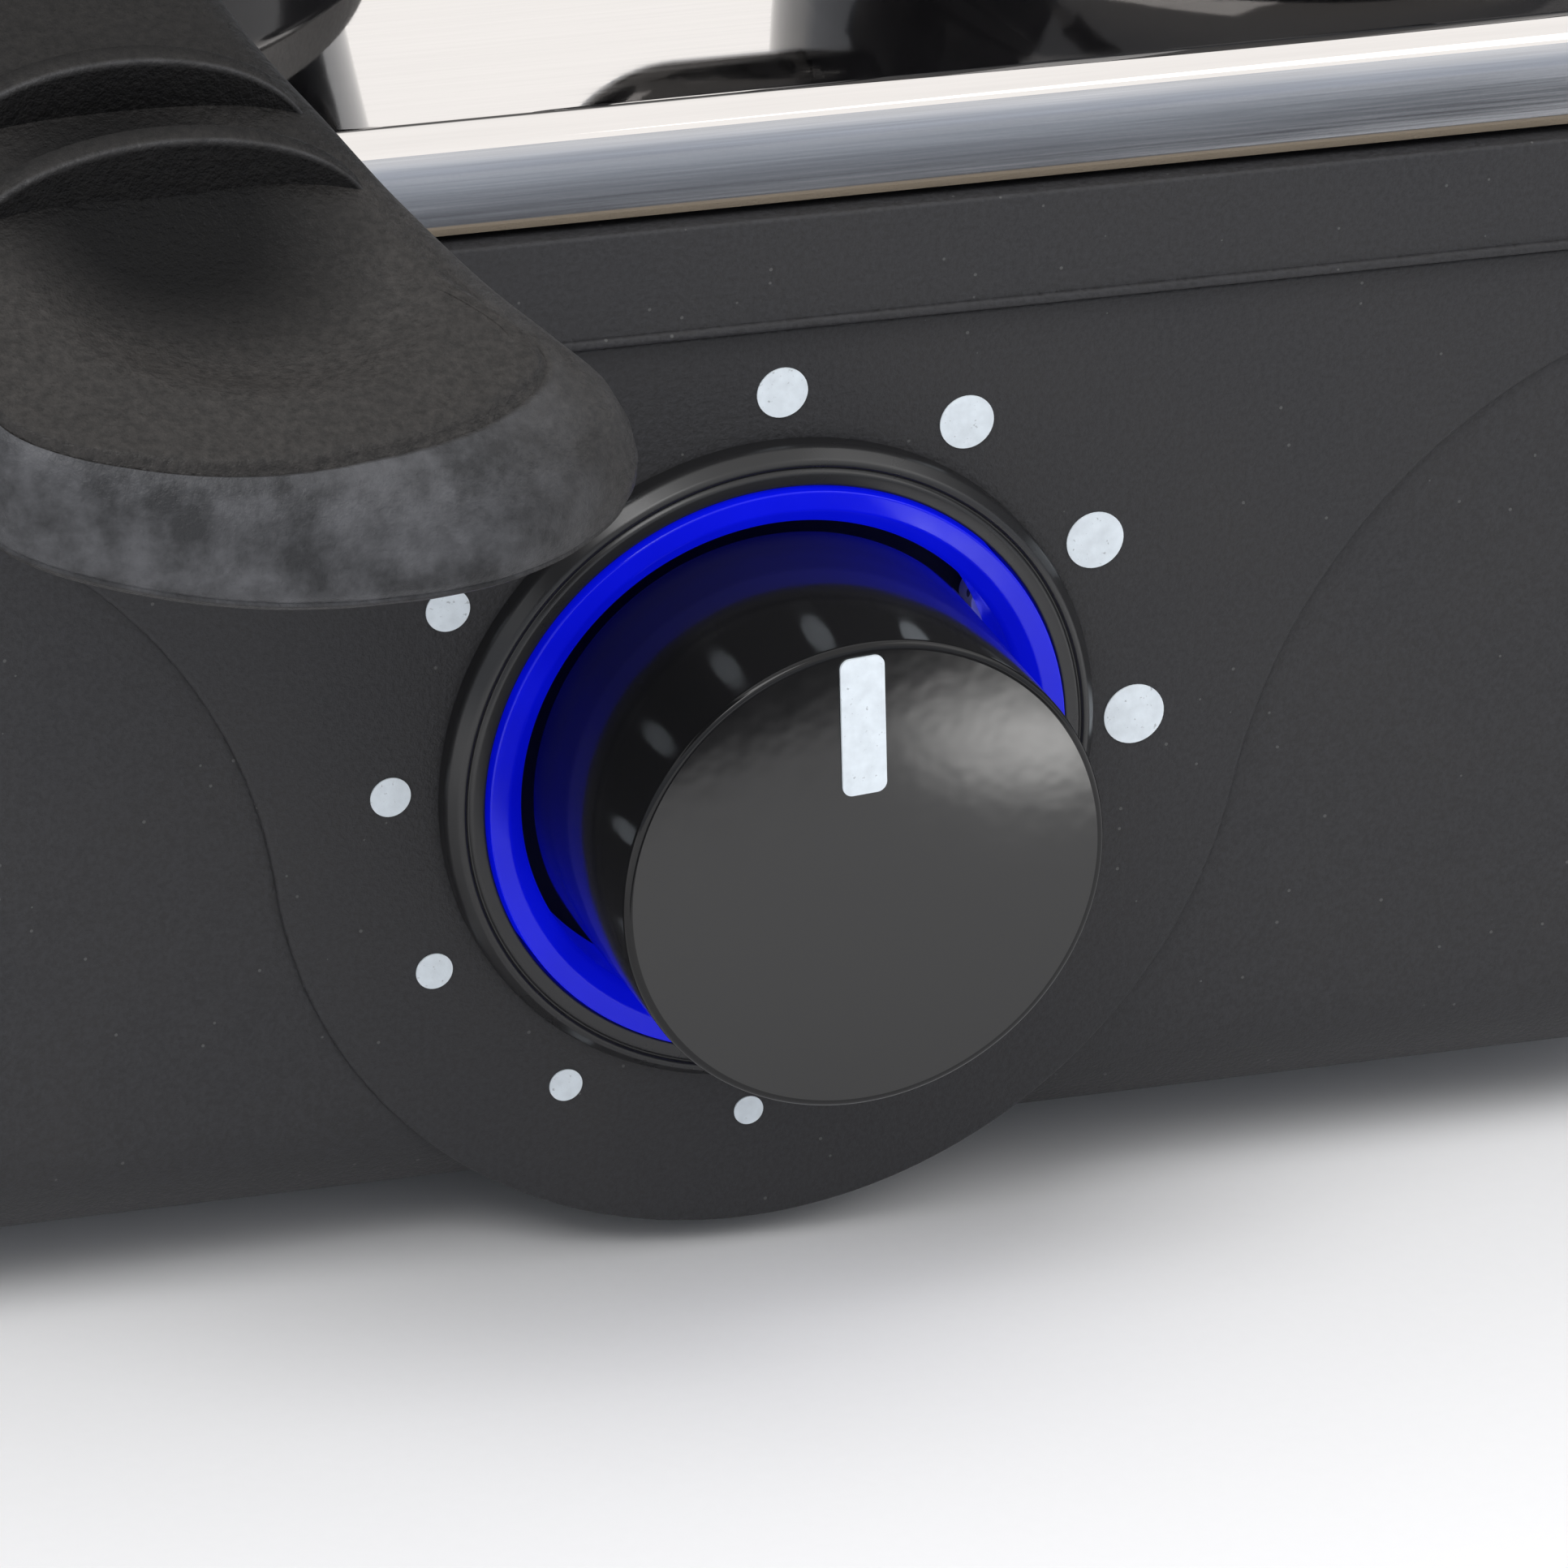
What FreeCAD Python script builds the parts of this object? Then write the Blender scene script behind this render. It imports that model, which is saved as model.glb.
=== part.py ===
"""Table-top double hot plate: steel deck, moulded base, lit thermostat dial, two cast plates, pan and pot.

Frame: +Z up, +X to the right seen from the front, the front faces -Y.
The origin is on the table under the middle of the appliance.
"""
import FreeCAD, Part
import math
import os
import re

import Sketcher

V = FreeCAD.Vector

SIZES = {
    "table": 8.0,
    # deck and base
    "deck_width": 260.0,
    "deck_front": -59.5,
    "deck_back": 101.5,
    "deck_top": 92.0,
    "deck_sheet": 0.6,
    "deck_corner": 22.0,
    "deck_roll": 3.2,
    "flange_bottom": 85.3,
    "tub_half": 122.0,
    "tub_front": -52.0,
    "tub_back": 94.0,
    "tub_wall": 2.4,
    "tub_corner": 18.0,
    "base_bottom": 15.0,
    "cover_sheet": 1.2,
    "foot_radius": 9.0,
    "foot_x": 96.0,
    "foot_front": -32.0,
    "foot_back": 76.0,
    # control box
    "panel_y": -60.0,
    "axis_height": 45.0,
    "fascia_half": 72.0,
    "fascia_step": 0.5,
    "fascia_wall": 2.4,
    "fascia_top": 76.3,
    "fascia_bottom": 12.4,
    "fascia_roll": 7.0,
    "bib_radius": 35.0,
    "bib_flare": 40.0,
    "bib_angle": 10.0,
    "bib_thick": 4.0,
    "band_half": 62.0,
    "band_lip": 0.8,
    "band_bottom": 76.6,
    "band_top": 84.7,
    "band_corner": 6.0,
    # dial
    "dot_circle": 26.7,
    "dot_first": 1.05,
    "dot_growth": 0.125,
    "dot_thick": 0.1,
    "bezel_outer": 23.3,
    "bezel_inner": 20.75,
    "bezel_proud": 2.4,
    "ring_outer": 20.6,
    "ring_inner": 18.0,
    "ring_proud": 2.9,
    "lamp_circle": 19.3,
    "knob_radius": 17.0,
    "knob_proud": 19.8,
    "knob_wall": 2.2,
    "pointer_length": 10.0,
    "pointer_width": 3.1,
    "pointer_reach": 11.2,
    "pointer_lean": 4.0,
    "shaft_radius": 3.0,
    "shaft_play": 0.05,
    "bush_nut": 8.0,
    "stud_nut": 4.0,
    # heating
    "large_x": -52.0,
    "large_y": 20.0,
    "large_radius": 50.0,
    "small_x": 64.0,
    "small_y": 15.0,
    "small_radius": 35.0,
    "drum_rise": 9.0,
    "plate_rise": 14.0,
    "coil_radius": 3.0,
    # vessels
    "rest_gap": 0.3,
    "pan_depth": 24.0,
    "pan_base": 44.0,
    "pan_wall": 2.6,
    "pot_depth": 40.0,
    "pot_base": 31.0,
    "pot_rim": 35.0,
    "pot_wall": 2.2,
    "handle_tip": -101.5,
    "handle_slope": 0.404,
    "handle_drift": 0.338,
    "handle_bend": 0.00435,
    "fin_rise": 8.2,
}

doc = FreeCAD.newDocument("HotPlate")
sheet = doc.addObject("Spreadsheet::Sheet", "Sizes")
for line, (alias, amount) in enumerate(SIZES.items(), start=1):
    sheet.set(f"A{line}", alias)
    sheet.set(f"B{line}", str(amount))
    sheet.setAlias(f"B{line}", alias)
doc.recompute()

NAMES = re.compile(r"\b(" + "|".join(SIZES) + r")\b")
TERM = re.compile(r"([+-]?)\s*([\w.]+(?:\s*[*/]\s*[\w.]+)*)")
FACTOR = re.compile(r"([*/]?)\s*([\w.]+)")
nodes = {}


def number(text):
    """Value of a sum of products of sheet names and plain numbers."""
    total = 0.0
    for sign, term in TERM.findall(str(text)):
        product = 1.0
        for operation, factor in FACTOR.findall(term):
            amount = float(getattr(sheet, factor)) if factor in SIZES else float(factor)
            product = product / amount if operation == "/" else product * amount
        total += -product if sign == "-" else product
    return total


def bind(item, prop, text):
    """Binds a property to a sum of sheet names."""
    item.setExpression(prop, NAMES.sub(r"Sizes.\1", str(text)))


def place(item, x, y, z):
    """Binds the position of an object."""
    for axis, text in zip("xyz", (x, y, z)):
        bind(item, f"Placement.Base.{axis}", text)


def keep(label, item):
    """Names a finished sub-part and lists it for writing."""
    item.Label = label
    nodes[label] = item
    return item


def box(x, y, z, dx, dy, dz):
    """Block with its low corner at x, y, z."""
    item = doc.addObject("Part::Box", "block")
    bind(item, "Length", dx)
    bind(item, "Width", dy)
    bind(item, "Height", dz)
    place(item, x, y, z)
    return item


def rod(x, y, z, radius, length, direction=V(0, 0, 1)):
    """Cylinder that starts at x, y, z and runs along direction."""
    item = doc.addObject("Part::Cylinder", "rod")
    bind(item, "Radius", radius)
    bind(item, "Height", length)
    item.Placement.Rotation = FreeCAD.Rotation(V(0, 0, 1), direction)
    place(item, x, y, z)
    return item


def fuse(*items):
    """One solid from several that meet."""
    item = doc.addObject("Part::MultiFuse", "joined")
    item.Shapes = list(items)
    item.Refine = True
    doc.recompute()
    return item


def group(*items):
    """Separate solids kept in one sub-part."""
    item = doc.addObject("Part::Compound", "set")
    item.Links = list(items)
    doc.recompute()
    return item


def cut(base, *tools):
    """A solid with others taken out of it."""
    item = doc.addObject("Part::Cut", "cut")
    item.Base = base
    item.Tool = tools[0] if len(tools) == 1 else group(*tools)
    doc.recompute()
    return item


def rounded(base, radius, wanted):
    """Rounds the edges of base whose middle and direction pass the wanted test."""
    doc.recompute()
    edges = []
    for index, edge in enumerate(base.Shape.Edges, start=1):
        middle = edge.valueAt((edge.FirstParameter + edge.LastParameter) / 2)
        along = edge.tangentAt((edge.FirstParameter + edge.LastParameter) / 2)
        if wanted(middle, along):
            edges.append((index, number(radius), number(radius)))
    item = doc.addObject("Part::Fillet", "rounded")
    item.Base = base
    item.Edges = edges
    doc.recompute()
    return item


def upright(middle, along):
    """True for an edge that runs up and down."""
    return abs(along.z) > 0.99


def at_height(level):
    """Test for edges that lie at one height."""
    return lambda middle, along: abs(middle.z - number(level)) < 0.01 and abs(along.z) < 0.01


def outline(body, role, points):
    """Closed outline of straight lines, every corner bound to the sheet."""
    sketch = body.newObject("Sketcher::SketchObject", "outline")
    plane = [part for part in body.Origin.OriginFeatures if part.Role == role][0]
    sketch.AttachmentSupport = [(plane, "")]
    sketch.MapMode = "FlatFace"
    corners = [V(number(a), number(b), 0) for a, b in points]
    count = len(corners)
    for index, corner in enumerate(corners):
        sketch.addGeometry(Part.LineSegment(corner, corners[(index + 1) % count]), False)
    for index, corner in enumerate(corners):
        sketch.addConstraint(Sketcher.Constraint("Coincident", index, 2, (index + 1) % count, 1))
    for index, (corner, texts) in enumerate(zip(corners, points)):
        for kind, text, amount in zip(("DistanceX", "DistanceY"), texts, corner):
            rule = sketch.addConstraint(Sketcher.Constraint(kind, -1, 1, index, 1, amount))
            bind(sketch, f"Constraints[{rule}]", text)
    return sketch


def turned(points, x, y, z, facing=V(0, 0, 1)):
    """Solid of revolution from (radius, height) points, its axis along facing."""
    body = doc.addObject("PartDesign::Body", "turned")
    sketch = outline(body, "XZ_Plane", points)
    doc.recompute()
    feature = body.newObject("PartDesign::Revolution", "turn")
    feature.Profile = sketch
    feature.ReferenceAxis = (sketch, ["V_Axis"])
    feature.Angle = 360.0
    body.Placement.Rotation = FreeCAD.Rotation(V(0, 0, 1), facing)
    place(body, x, y, z)
    doc.recompute()
    return body


def prism(role, points, length, x=0, y=0, z=0):
    """Straight extrusion of an outline."""
    body = doc.addObject("PartDesign::Body", "prism")
    sketch = outline(body, role, points)
    doc.recompute()
    feature = body.newObject("PartDesign::Pad", "pad")
    feature.Profile = sketch
    bind(feature, "Length", length)
    place(body, x, y, z)
    doc.recompute()
    return body


def hexagon(reach):
    """Corners of a hexagon for a nut."""
    corners = []
    for step in range(6):
        angle = math.radians(60 * step)
        corners.append((f"{reach}*{math.cos(angle):.6f}", f"{reach}*{math.sin(angle):.6f}"))
    return corners


def made(name, shape):
    """Sub-part whose shape comes from Part's own functions."""
    item = doc.addObject("Part::Feature", name)
    item.Shape = shape
    doc.recompute()
    return item


def tube(points, radius):
    """Round wire through the points, with an arc at each corner."""
    edges = []
    start = points[0]
    for before, corner, after in zip(points, points[1:], points[2:]):
        back = before - corner
        ahead = after - corner
        turn = math.pi - back.getAngle(ahead)
        reach = 0.45 * min(back.Length, ahead.Length)
        back = back.normalize() * reach
        ahead = ahead.normalize() * reach
        swing = reach * math.tan(turn / 2) * (1 / math.cos(turn / 2) - 1) / math.tan(turn / 2) ** 2
        inward = (back + ahead).normalize()
        edges.append(Part.LineSegment(start, corner + back).toShape())
        edges.append(Part.Arc(corner + back, corner + inward * swing, corner + ahead).toShape())
        start = corner + ahead
    edges.append(Part.LineSegment(start, points[-1]).toShape())
    path = Part.Wire(edges)
    ring = Part.Wire([Part.Circle(points[0], points[1] - points[0], radius).toShape()])
    return path.makePipeShell([ring], True, False)


OUT = V(0, -1, 0)
DOWN = V(0, 0, -1)
sides = (-1, 1)


# ---- steel deck ---------------------------------------------------------------------------------------
def rounded_plate(inset, bottom, rise, corner):
    """Deck outline block, set in from the deck's sides."""
    block = box(f"-deck_width/2 + {inset}", f"deck_front + {inset}", bottom,
                f"deck_width - {2 * inset}", f"deck_back - deck_front - {2 * inset}", rise)
    return rounded(block, corner, upright)


sheet_metal = number("deck_sheet")
deck_outer = rounded(rounded_plate(0, "flange_bottom", "deck_top - flange_bottom", "deck_corner"),
                     "deck_roll", at_height("deck_top"))
inner_rise = "deck_top - deck_sheet - flange_bottom + 1"
deck_inner = rounded(rounded_plate(sheet_metal, "flange_bottom - 1", inner_rise,
                                   "deck_corner - deck_sheet"),
                     "deck_roll - deck_sheet", at_height("deck_top - deck_sheet"))
burners = {"large": ("large_x", "large_y", "large_radius"), "small": ("small_x", "small_y", "small_radius")}
deck_holes = []
for middle_x, middle_y, radius in burners.values():
    deck_holes.append(rod(middle_x, middle_y, "deck_top - 3", 3.3, 6))
    for side in sides:
        deck_holes.append(rod(f"{middle_x} + {12 * side}", f"{middle_y} + 12", "deck_top - 3", 4.5, 6))
keep("deck_tray", cut(deck_outer, deck_inner, *deck_holes))


# ---- moulded base -------------------------------------------------------------------------------------
def tub_block(inset, bottom, rise):
    """Block with the base's outline, set in from its walls."""
    block = box(f"-tub_half + {inset}", f"tub_front + {inset}", bottom,
                f"2*tub_half - {2 * inset}", f"tub_back - tub_front - {2 * inset}", rise)
    return rounded(block, f"tub_corner - {inset}", upright)


wall = number("tub_wall")
vent_cuts = []
for step in range(9):
    for side in sides:
        vent_cuts.append(box(f"tub_half*{side} - 4", f"{-12 + 9 * step}", 56, 8, 3.2, 22))
for step in range(7):
    vent_cuts.append(box(f"{-84 + 9 * step}", "tub_back - 4", 56, 3.2, 8, 22))
front_window = box("-fascia_half + 6", "tub_front - 2", 21, "2*fascia_half - 12", 8, 62)
inlet_window = box(41.8, "tub_back - 4", 33.8, 28.4, 8, 22.4)
for side in sides:
    vent_cuts.append(rod(56 + 20 * side, "tub_back - 6", 45, 1.8, 8, V(0, 1, 0)))
tub_walls = cut(tub_block(0, "base_bottom", "deck_top - deck_sheet - base_bottom"),
                tub_block(wall, "base_bottom - 1", "deck_top"),
                front_window, inlet_window, *vent_cuts)
posts = []
post_holes = []
for side in sides:
    for row_y in ("tub_front + 9", "tub_back - 9"):
        posts.append(rod(f"tub_half*{side} - {9 * side}", row_y, "base_bottom + cover_sheet", 5,
                         "deck_top - deck_sheet - base_bottom - cover_sheet"))
        post_holes.append(rod(f"tub_half*{side} - {9 * side}", row_y, "base_bottom", 2.0, 16))
keep("base_tub", cut(fuse(tub_walls, *posts), *post_holes))

cover = rounded(box("-tub_half + tub_wall + 0.2", "tub_front + tub_wall + 0.2", "base_bottom",
                    "2*tub_half - 2*tub_wall - 0.4", "tub_back - tub_front - 2*tub_wall - 0.4",
                    "cover_sheet"),
                "tub_corner - tub_wall - 0.2", upright)
cover_cuts = []
for side in sides:
    for row_y in ("tub_front + 9", "tub_back - 9"):
        cover_cuts.append(rod(f"tub_half*{side} - {9 * side}", row_y, "base_bottom - 1", 2.2, 4))
for step in range(11):
    for row_y in (-6, 40):
        cover_cuts.append(box(f"{-51.5 + 10 * step}", row_y, "base_bottom - 1", 3, 26, 4))
keep("bottom_cover", cut(cover, *cover_cuts))

feet = []
screws = []
for side in sides:
    for row_y in ("foot_front", "foot_back"):
        feet.append(turned([(0, "table"), ("foot_radius - 1.2", "table"), ("foot_radius", "table + 1.2"),
                            ("foot_radius + 1", "base_bottom"), (0, "base_bottom")],
                           f"foot_x*{side}", row_y, 0))
    for row_y in ("tub_front + 9", "tub_back - 9"):
        screws.append(turned([(0, 0), (2.6, 0), (3.6, 1), (3.6, 1.8), (1.9, 1.8), (1.9, 14), (0, 15)],
                             f"tub_half*{side} - {9 * side}", row_y, "base_bottom - 1.8"))
keep("rubber_feet", group(*feet))
keep("cover_screws", group(*screws))


# ---- control box --------------------------------------------------------------------------------------
def bib_outline():
    """Face outline: a hanging disc whose sides flare out into the fascia's full width."""
    radius = number("bib_radius")
    flare = number("bib_flare")
    lean = math.radians(number("bib_angle"))
    level = number("axis_height")
    half = number("fascia_half")
    top = number("fascia_top")
    join = V(radius * math.cos(lean), 0, -radius * math.sin(lean))
    heart = V((radius + flare) * math.cos(lean), 0, -(radius + flare) * math.sin(lean))
    rise = math.acos((heart.x - half) / flare)
    ends = []
    for side in sides:
        ends.append([V(side * point.x, 0, level + point.z) for point in (
            join,
            heart + V(-flare * math.cos(rise / 2), 0, flare * math.sin(rise / 2)),
            heart + V(-flare * math.cos(rise), 0, flare * math.sin(rise)))])
    left, right = ends
    edges = [
        Part.Arc(left[0], V(0, 0, level - radius), right[0]).toShape(),
        Part.Arc(right[0], right[1], right[2]).toShape(),
        Part.LineSegment(right[2], V(half, 0, top)).toShape(),
        Part.LineSegment(V(half, 0, top), V(-half, 0, top)).toShape(),
        Part.LineSegment(V(-half, 0, top), left[2]).toShape(),
        Part.Arc(left[2], left[1], left[0]).toShape(),
    ]
    return Part.Face(Part.Wire(edges))


bib = made("bib", bib_outline().extrude(V(0, number("bib_thick"), 0)))
place(bib, 0, "panel_y", 0)
panel = rounded(box("-fascia_half", "panel_y + fascia_step", "fascia_bottom", "2*fascia_half",
                    "tub_front - panel_y - fascia_step", "fascia_top - fascia_bottom"), "fascia_roll",
                lambda middle, along: abs(middle.y - number("panel_y + fascia_step")) < 0.01
                and middle.z < number("fascia_bottom") + 0.01)
panel_hollow = box("-fascia_half + fascia_wall", "panel_y + bib_thick", "fascia_bottom + fascia_roll",
                   "2*fascia_half - 2*fascia_wall", 12,
                   "fascia_top - fascia_bottom - fascia_roll - fascia_wall")
bezel_hole = rod(0, "panel_y + 8", "axis_height", "bezel_outer - 0.7", 12, OUT)
keep("fascia", cut(fuse(panel, bib), panel_hollow, bezel_hole))

band = rounded(box("-band_half", "panel_y - band_lip", "band_bottom", "2*band_half",
                   "tub_front - panel_y + band_lip", "band_top - band_bottom"), "band_corner",
               lambda middle, along: abs(along.y) > 0.99 and middle.z > number("band_top") - 1)
keep("upper_band", cut(band, box("-band_half + 7", "panel_y + 2", "band_bottom - 1", "2*band_half - 14",
                                 "tub_front - panel_y", "band_top - band_bottom - 1.2")))

dots = []
for step in range(10):
    angle = math.radians(270 - 30 * step)
    dots.append(rod(f"dot_circle*{math.cos(angle):.6f}", "panel_y",
                    f"axis_height + dot_circle*{math.sin(angle):.6f}",
                    f"dot_first + dot_growth*{step}", "dot_thick", OUT))
keep("dial_dots", group(*dots))

keep("bezel_ring", turned([("bezel_inner", -4), ("bezel_outer - 0.9", -4), ("bezel_outer - 0.9", 0),
                           ("bezel_outer", 0), ("bezel_outer", "bezel_proud - 0.5"),
                           ("bezel_outer - 0.6", "bezel_proud"), ("bezel_inner", "bezel_proud")],
                          0, "panel_y", "axis_height", OUT))
keep("light_ring", turned([("ring_inner", -4), ("ring_outer", -4), ("ring_outer", "ring_proud - 0.3"),
                           ("ring_outer - 0.3", "ring_proud"), ("ring_inner", "ring_proud")],
                          0, "panel_y", "axis_height", OUT))
keep("light_board", cut(rod(0, "panel_y + 8.6", "axis_height", 22, 1.6, OUT),
                        rod(0, "panel_y + 9", "axis_height", 9, 3, OUT)))
lamps = []
for step in range(8):
    angle = math.radians(45 * step + 22.5)
    lamps.append(rod(f"lamp_circle*{math.cos(angle):.6f}", "panel_y + 7",
                     f"axis_height + lamp_circle*{math.sin(angle):.6f}", 1.6, 2.4, OUT))
keep("ring_lamps", group(*lamps))

keep("knob", turned([("shaft_radius + shaft_play", -1.6), (5.6, -1.6), (5.6, "knob_proud - 2.6"),
                     ("knob_radius - knob_wall", "knob_proud - 2.6"), ("knob_radius - knob_wall", 1),
                     ("knob_radius", 1), ("knob_radius", "knob_proud - 0.35"),
                     ("knob_radius - 0.35", "knob_proud"), (0, "knob_proud"), (0, "knob_proud - 4"),
                     ("shaft_radius + shaft_play", "knob_proud - 4")],
                    0, "panel_y", "axis_height", OUT))
pointer = box("-pointer_width/2", 0, "pointer_reach - pointer_length/2",
              "pointer_width", 0.2, "pointer_length")
pointer = rounded(pointer, 0.7, lambda middle, along: abs(along.y) > 0.99)
pointer.Placement.Rotation = FreeCAD.Rotation(V(0, -1, 0), number("pointer_lean"))
place(pointer, 0, "panel_y - knob_proud - 0.2", "axis_height")
keep("knob_pointer", pointer)
keep("thermostat_shaft", cut(turned([(0, -22), ("shaft_radius", -22), ("shaft_radius", "knob_proud - 5"),
                                     ("shaft_radius - 0.6", "knob_proud - 4.4"), (0, "knob_proud - 4.4")],
                                    0, "panel_y", "axis_height", OUT),
                             box(-4, "panel_y - knob_proud + 4", "axis_height + 1.6", 8, 12, 4)))
keep("knob_clip", box(-1.5, "panel_y - knob_proud + 6", "axis_height + 1.7", 3, 9, 0.7))

# ---- thermostat ---------------------------------------------------------------------------------------
keep("thermostat_bush", turned([("shaft_radius + shaft_play", -20), (5, -20), (5, -10),
                                ("shaft_radius + shaft_play", -10)], 0, "panel_y", "axis_height", OUT))
nut_block = prism("XZ_Plane", hexagon("bush_nut"), 3, 0, "panel_y + 15.8", "axis_height")
keep("thermostat_nut", cut(nut_block, rod(0, "panel_y + 20", "axis_height", 5, 12, OUT)))
bracket = fuse(box(-20, "panel_y + 16", "base_bottom + cover_sheet", 40, 1.2, 52),
               box(-20, "panel_y + 16", "base_bottom + cover_sheet", 40, 14, 1.2))
keep("thermostat_bracket", cut(bracket, rod(0, "panel_y + 20", "axis_height", 5.05, 12, OUT)))
keep("thermostat_body", cut(box(-13, "panel_y + 20", "axis_height - 14", 26, 18, 28),
                            rod(0, "panel_y + 23", "axis_height", 4, 6, OUT),
                            box(-8, "panel_y + 33", "axis_height - 9", 16, 8, 18)))
keep("bimetal_blade", box(-3, "panel_y + 34", "axis_height - 9", 6, 0.8, 18))
keep("thermostat_terminals", group(*[
    box(f"{7 * side} - 3.15", "panel_y + 24", "axis_height + 14", 6.3, 0.8, 9) for side in sides]))

# ---- heating ------------------------------------------------------------------------------------------
for size, (middle_x, middle_y, radius) in burners.items():
    spot = (middle_x, middle_y)
    keep(f"burner_drum_{size}", turned([
        (f"{radius} - 2", 0), (f"{radius}", 0), (f"{radius}", "drum_rise - 1"),
        (f"{radius} - 1", "drum_rise"), (f"{radius} - 8", "drum_rise"),
        (f"{radius} - 8", "drum_rise - 1.4"),
        (f"{radius} - 2", "drum_rise - 1.4")], *spot, "deck_top"))
    keep(f"hot_plate_{size}", cut(turned([
        (0, "drum_rise - 2"), (6, "drum_rise - 2"), (7, "drum_rise + 1"),
        (f"{radius} - 12", "drum_rise + 1"), (f"{radius} - 11", "drum_rise - 1"),
        (f"{radius} - 8.4", "drum_rise - 1"),
        (f"{radius} - 8.4", "drum_rise"), (f"{radius} - 2.5", "drum_rise"),
        (f"{radius} - 2", "drum_rise + 1"), (f"{radius} - 3", "plate_rise"),
        (13, "plate_rise"), (11, "plate_rise - 0.8"), (0, "plate_rise - 0.8")], *spot, "deck_top"),
        rod(*spot, "deck_top + drum_rise - 3", 2.0, 4)))
    reach = number(radius) * 0.5
    heart = V(number(middle_x), number(middle_y), number("deck_top + drum_rise - 3"))
    ring = Part.makeTorus(reach, number("coil_radius"), heart, V(0, 0, 1))
    slot = Part.makeBox(9, 60, 12, heart + V(-4.5, 0, -6))
    keep(f"heating_element_{size}", made("element", ring.cut(slot)))
    legs = []
    for side in sides:
        knee = heart + V(side * 12, 12, 0)
        legs.append(tube([knee + V(0, 0, -6), knee + V(0, 0, -26)], 2.2))
    keep(f"element_terminals_{size}", made("terminals", Part.makeCompound(legs)))
    leg_holes = [rod(f"{middle_x} + {12 * side}", f"{middle_y} + 12", "deck_top - 1", 4.5, 4)
                 for side in sides]
    keep(f"mica_disc_{size}", cut(rod(*spot, "deck_top", f"{radius} - 9", 0.8),
                                  rod(*spot, "deck_top - 1", 3.3, 4), *leg_holes))
    keep(f"burner_stud_{size}", rod(*spot, "deck_top - 18", 2.0, "drum_rise + 18 - 2"))
    keep(f"clamp_bridge_{size}", cut(box(f"{middle_x} - 24", f"{middle_y} - 6", "deck_top - 9", 48, 12, 2),
                                     rod(*spot, "deck_top - 12", 2.2, 8)))
    nut = prism("XY_Plane", hexagon("stud_nut"), 3, *spot, "deck_top - 12")
    keep(f"burner_nut_{size}", cut(nut, rod(*spot, "deck_top - 14", 2.0, 8)))

keep("heat_shield", cut(box(-108, -15, 62, 216, 91, 0.6),
                        *[rod(f"{spot[0]}", f"{spot[1]}", 60, 9, 6) for spot in burners.values()]))
keep("terminal_block", cut(box(4, 50, "base_bottom + cover_sheet", 34, 16, 14),
                           *[rod(f"{10.5 + 7 * k}", 40, 26, 2.2, 36, V(0, 1, 0)) for k in range(4)]))
keep("thermal_fuse", rod(-30, 30, 24, 2.6, 14, V(1, 0, 0)))
keep("earth_screw", turned([(0, 0), (2, 0), (2, 6), (4, 6), (4, 8.4), (0, 8.4)],
                           58, 40, "base_bottom + cover_sheet"))


def lead(*points):
    """One insulated internal wire."""
    return tube([V(*point) for point in points], 1.2)


keep("internal_wiring", made("wiring", Part.makeCompound([
    lead((-7, -33.8, 66), (-7, -20.5, 62), (-6, -10, 47), (2, 6, 35), (10.5, 24, 27), (10.5, 49, 26)),
    lead((7, -33.8, 66), (8, -20.5, 62), (10, -9, 46), (14, 4, 34), (17.5, 22, 27), (17.5, 49, 26)),
    lead((24.5, 67, 25), (30, 70, 30), (42, 71, 37), (50, 72, 45)),
    lead((31.5, 68, 23), (40, 71, 24), (54, 72, 28), (60, 72, 38)),
])))

# ---- rear appliance inlet -----------------------------------------------------------------------------
inlet = fuse(box(42, "tub_back - 18", 34, 28, 18, 22),
             rounded(box(32, "tub_back", 31, 48, 2.6, 28), 4, lambda middle, along: abs(along.y) > 0.99))
keep("inlet_socket", cut(inlet, box(44, "tub_back - 14", 36.75, 24, 20, 16.5),
                         *[rod(56 + 20 * side, "tub_back - 2", 45, 1.8, 8, V(0, 1, 0)) for side in sides]))
keep("inlet_pins", group(*[box(f"{49 + 7 * k - 1}", "tub_back - 14", f"{42.5 + 3 * (k % 2)}", 2, 12, 5)
                           for k in range(3)]))
keep("inlet_screws", group(*[turned([(0, -6), (1.7, -6), (1.7, 2.6), (3.2, 2.6), (2.4, 4.2), (0, 4.2)],
                                    56 + 20 * side, "tub_back", 45, V(0, 1, 0)) for side in sides]))

# ---- frying pan ---------------------------------------------------------------------------------------
keep("pan_body", turned([(0, 0), ("pan_base", 0), ("large_radius", "pan_depth"),
                         ("large_radius - pan_wall", "pan_depth"), ("pan_base - pan_wall", 3.6), (0, 3.6)],
                        "large_x", "large_y", "deck_top + plate_rise + rest_gap"))


def handle_level(y):
    """Height of the handle's centre line at a place along Y."""
    return 83.9 + number("handle_slope") * (y - number("handle_tip") - 4)


def handle_offset(y):
    """Sideways place of the handle's centre line."""
    back = y - number("handle_tip") - 8.5
    return -44 - number("handle_drift") * back + number("handle_bend") * back * back


def slanted(y_back, y_front, x, half_width, half_height):
    """Block along the handle's centre line, centred at x."""
    back = handle_level(y_back)
    front = handle_level(y_front)
    corners = [V(0, y_back, back - half_height), V(0, y_front, front - half_height),
               V(0, y_front, front + half_height), V(0, y_back, back + half_height)]
    face = Part.Face(Part.makePolygon(corners + corners[:1]))
    face.translate(V(x - half_width, 0, 0))
    return face.extrude(V(2 * half_width, 0, 0))


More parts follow.
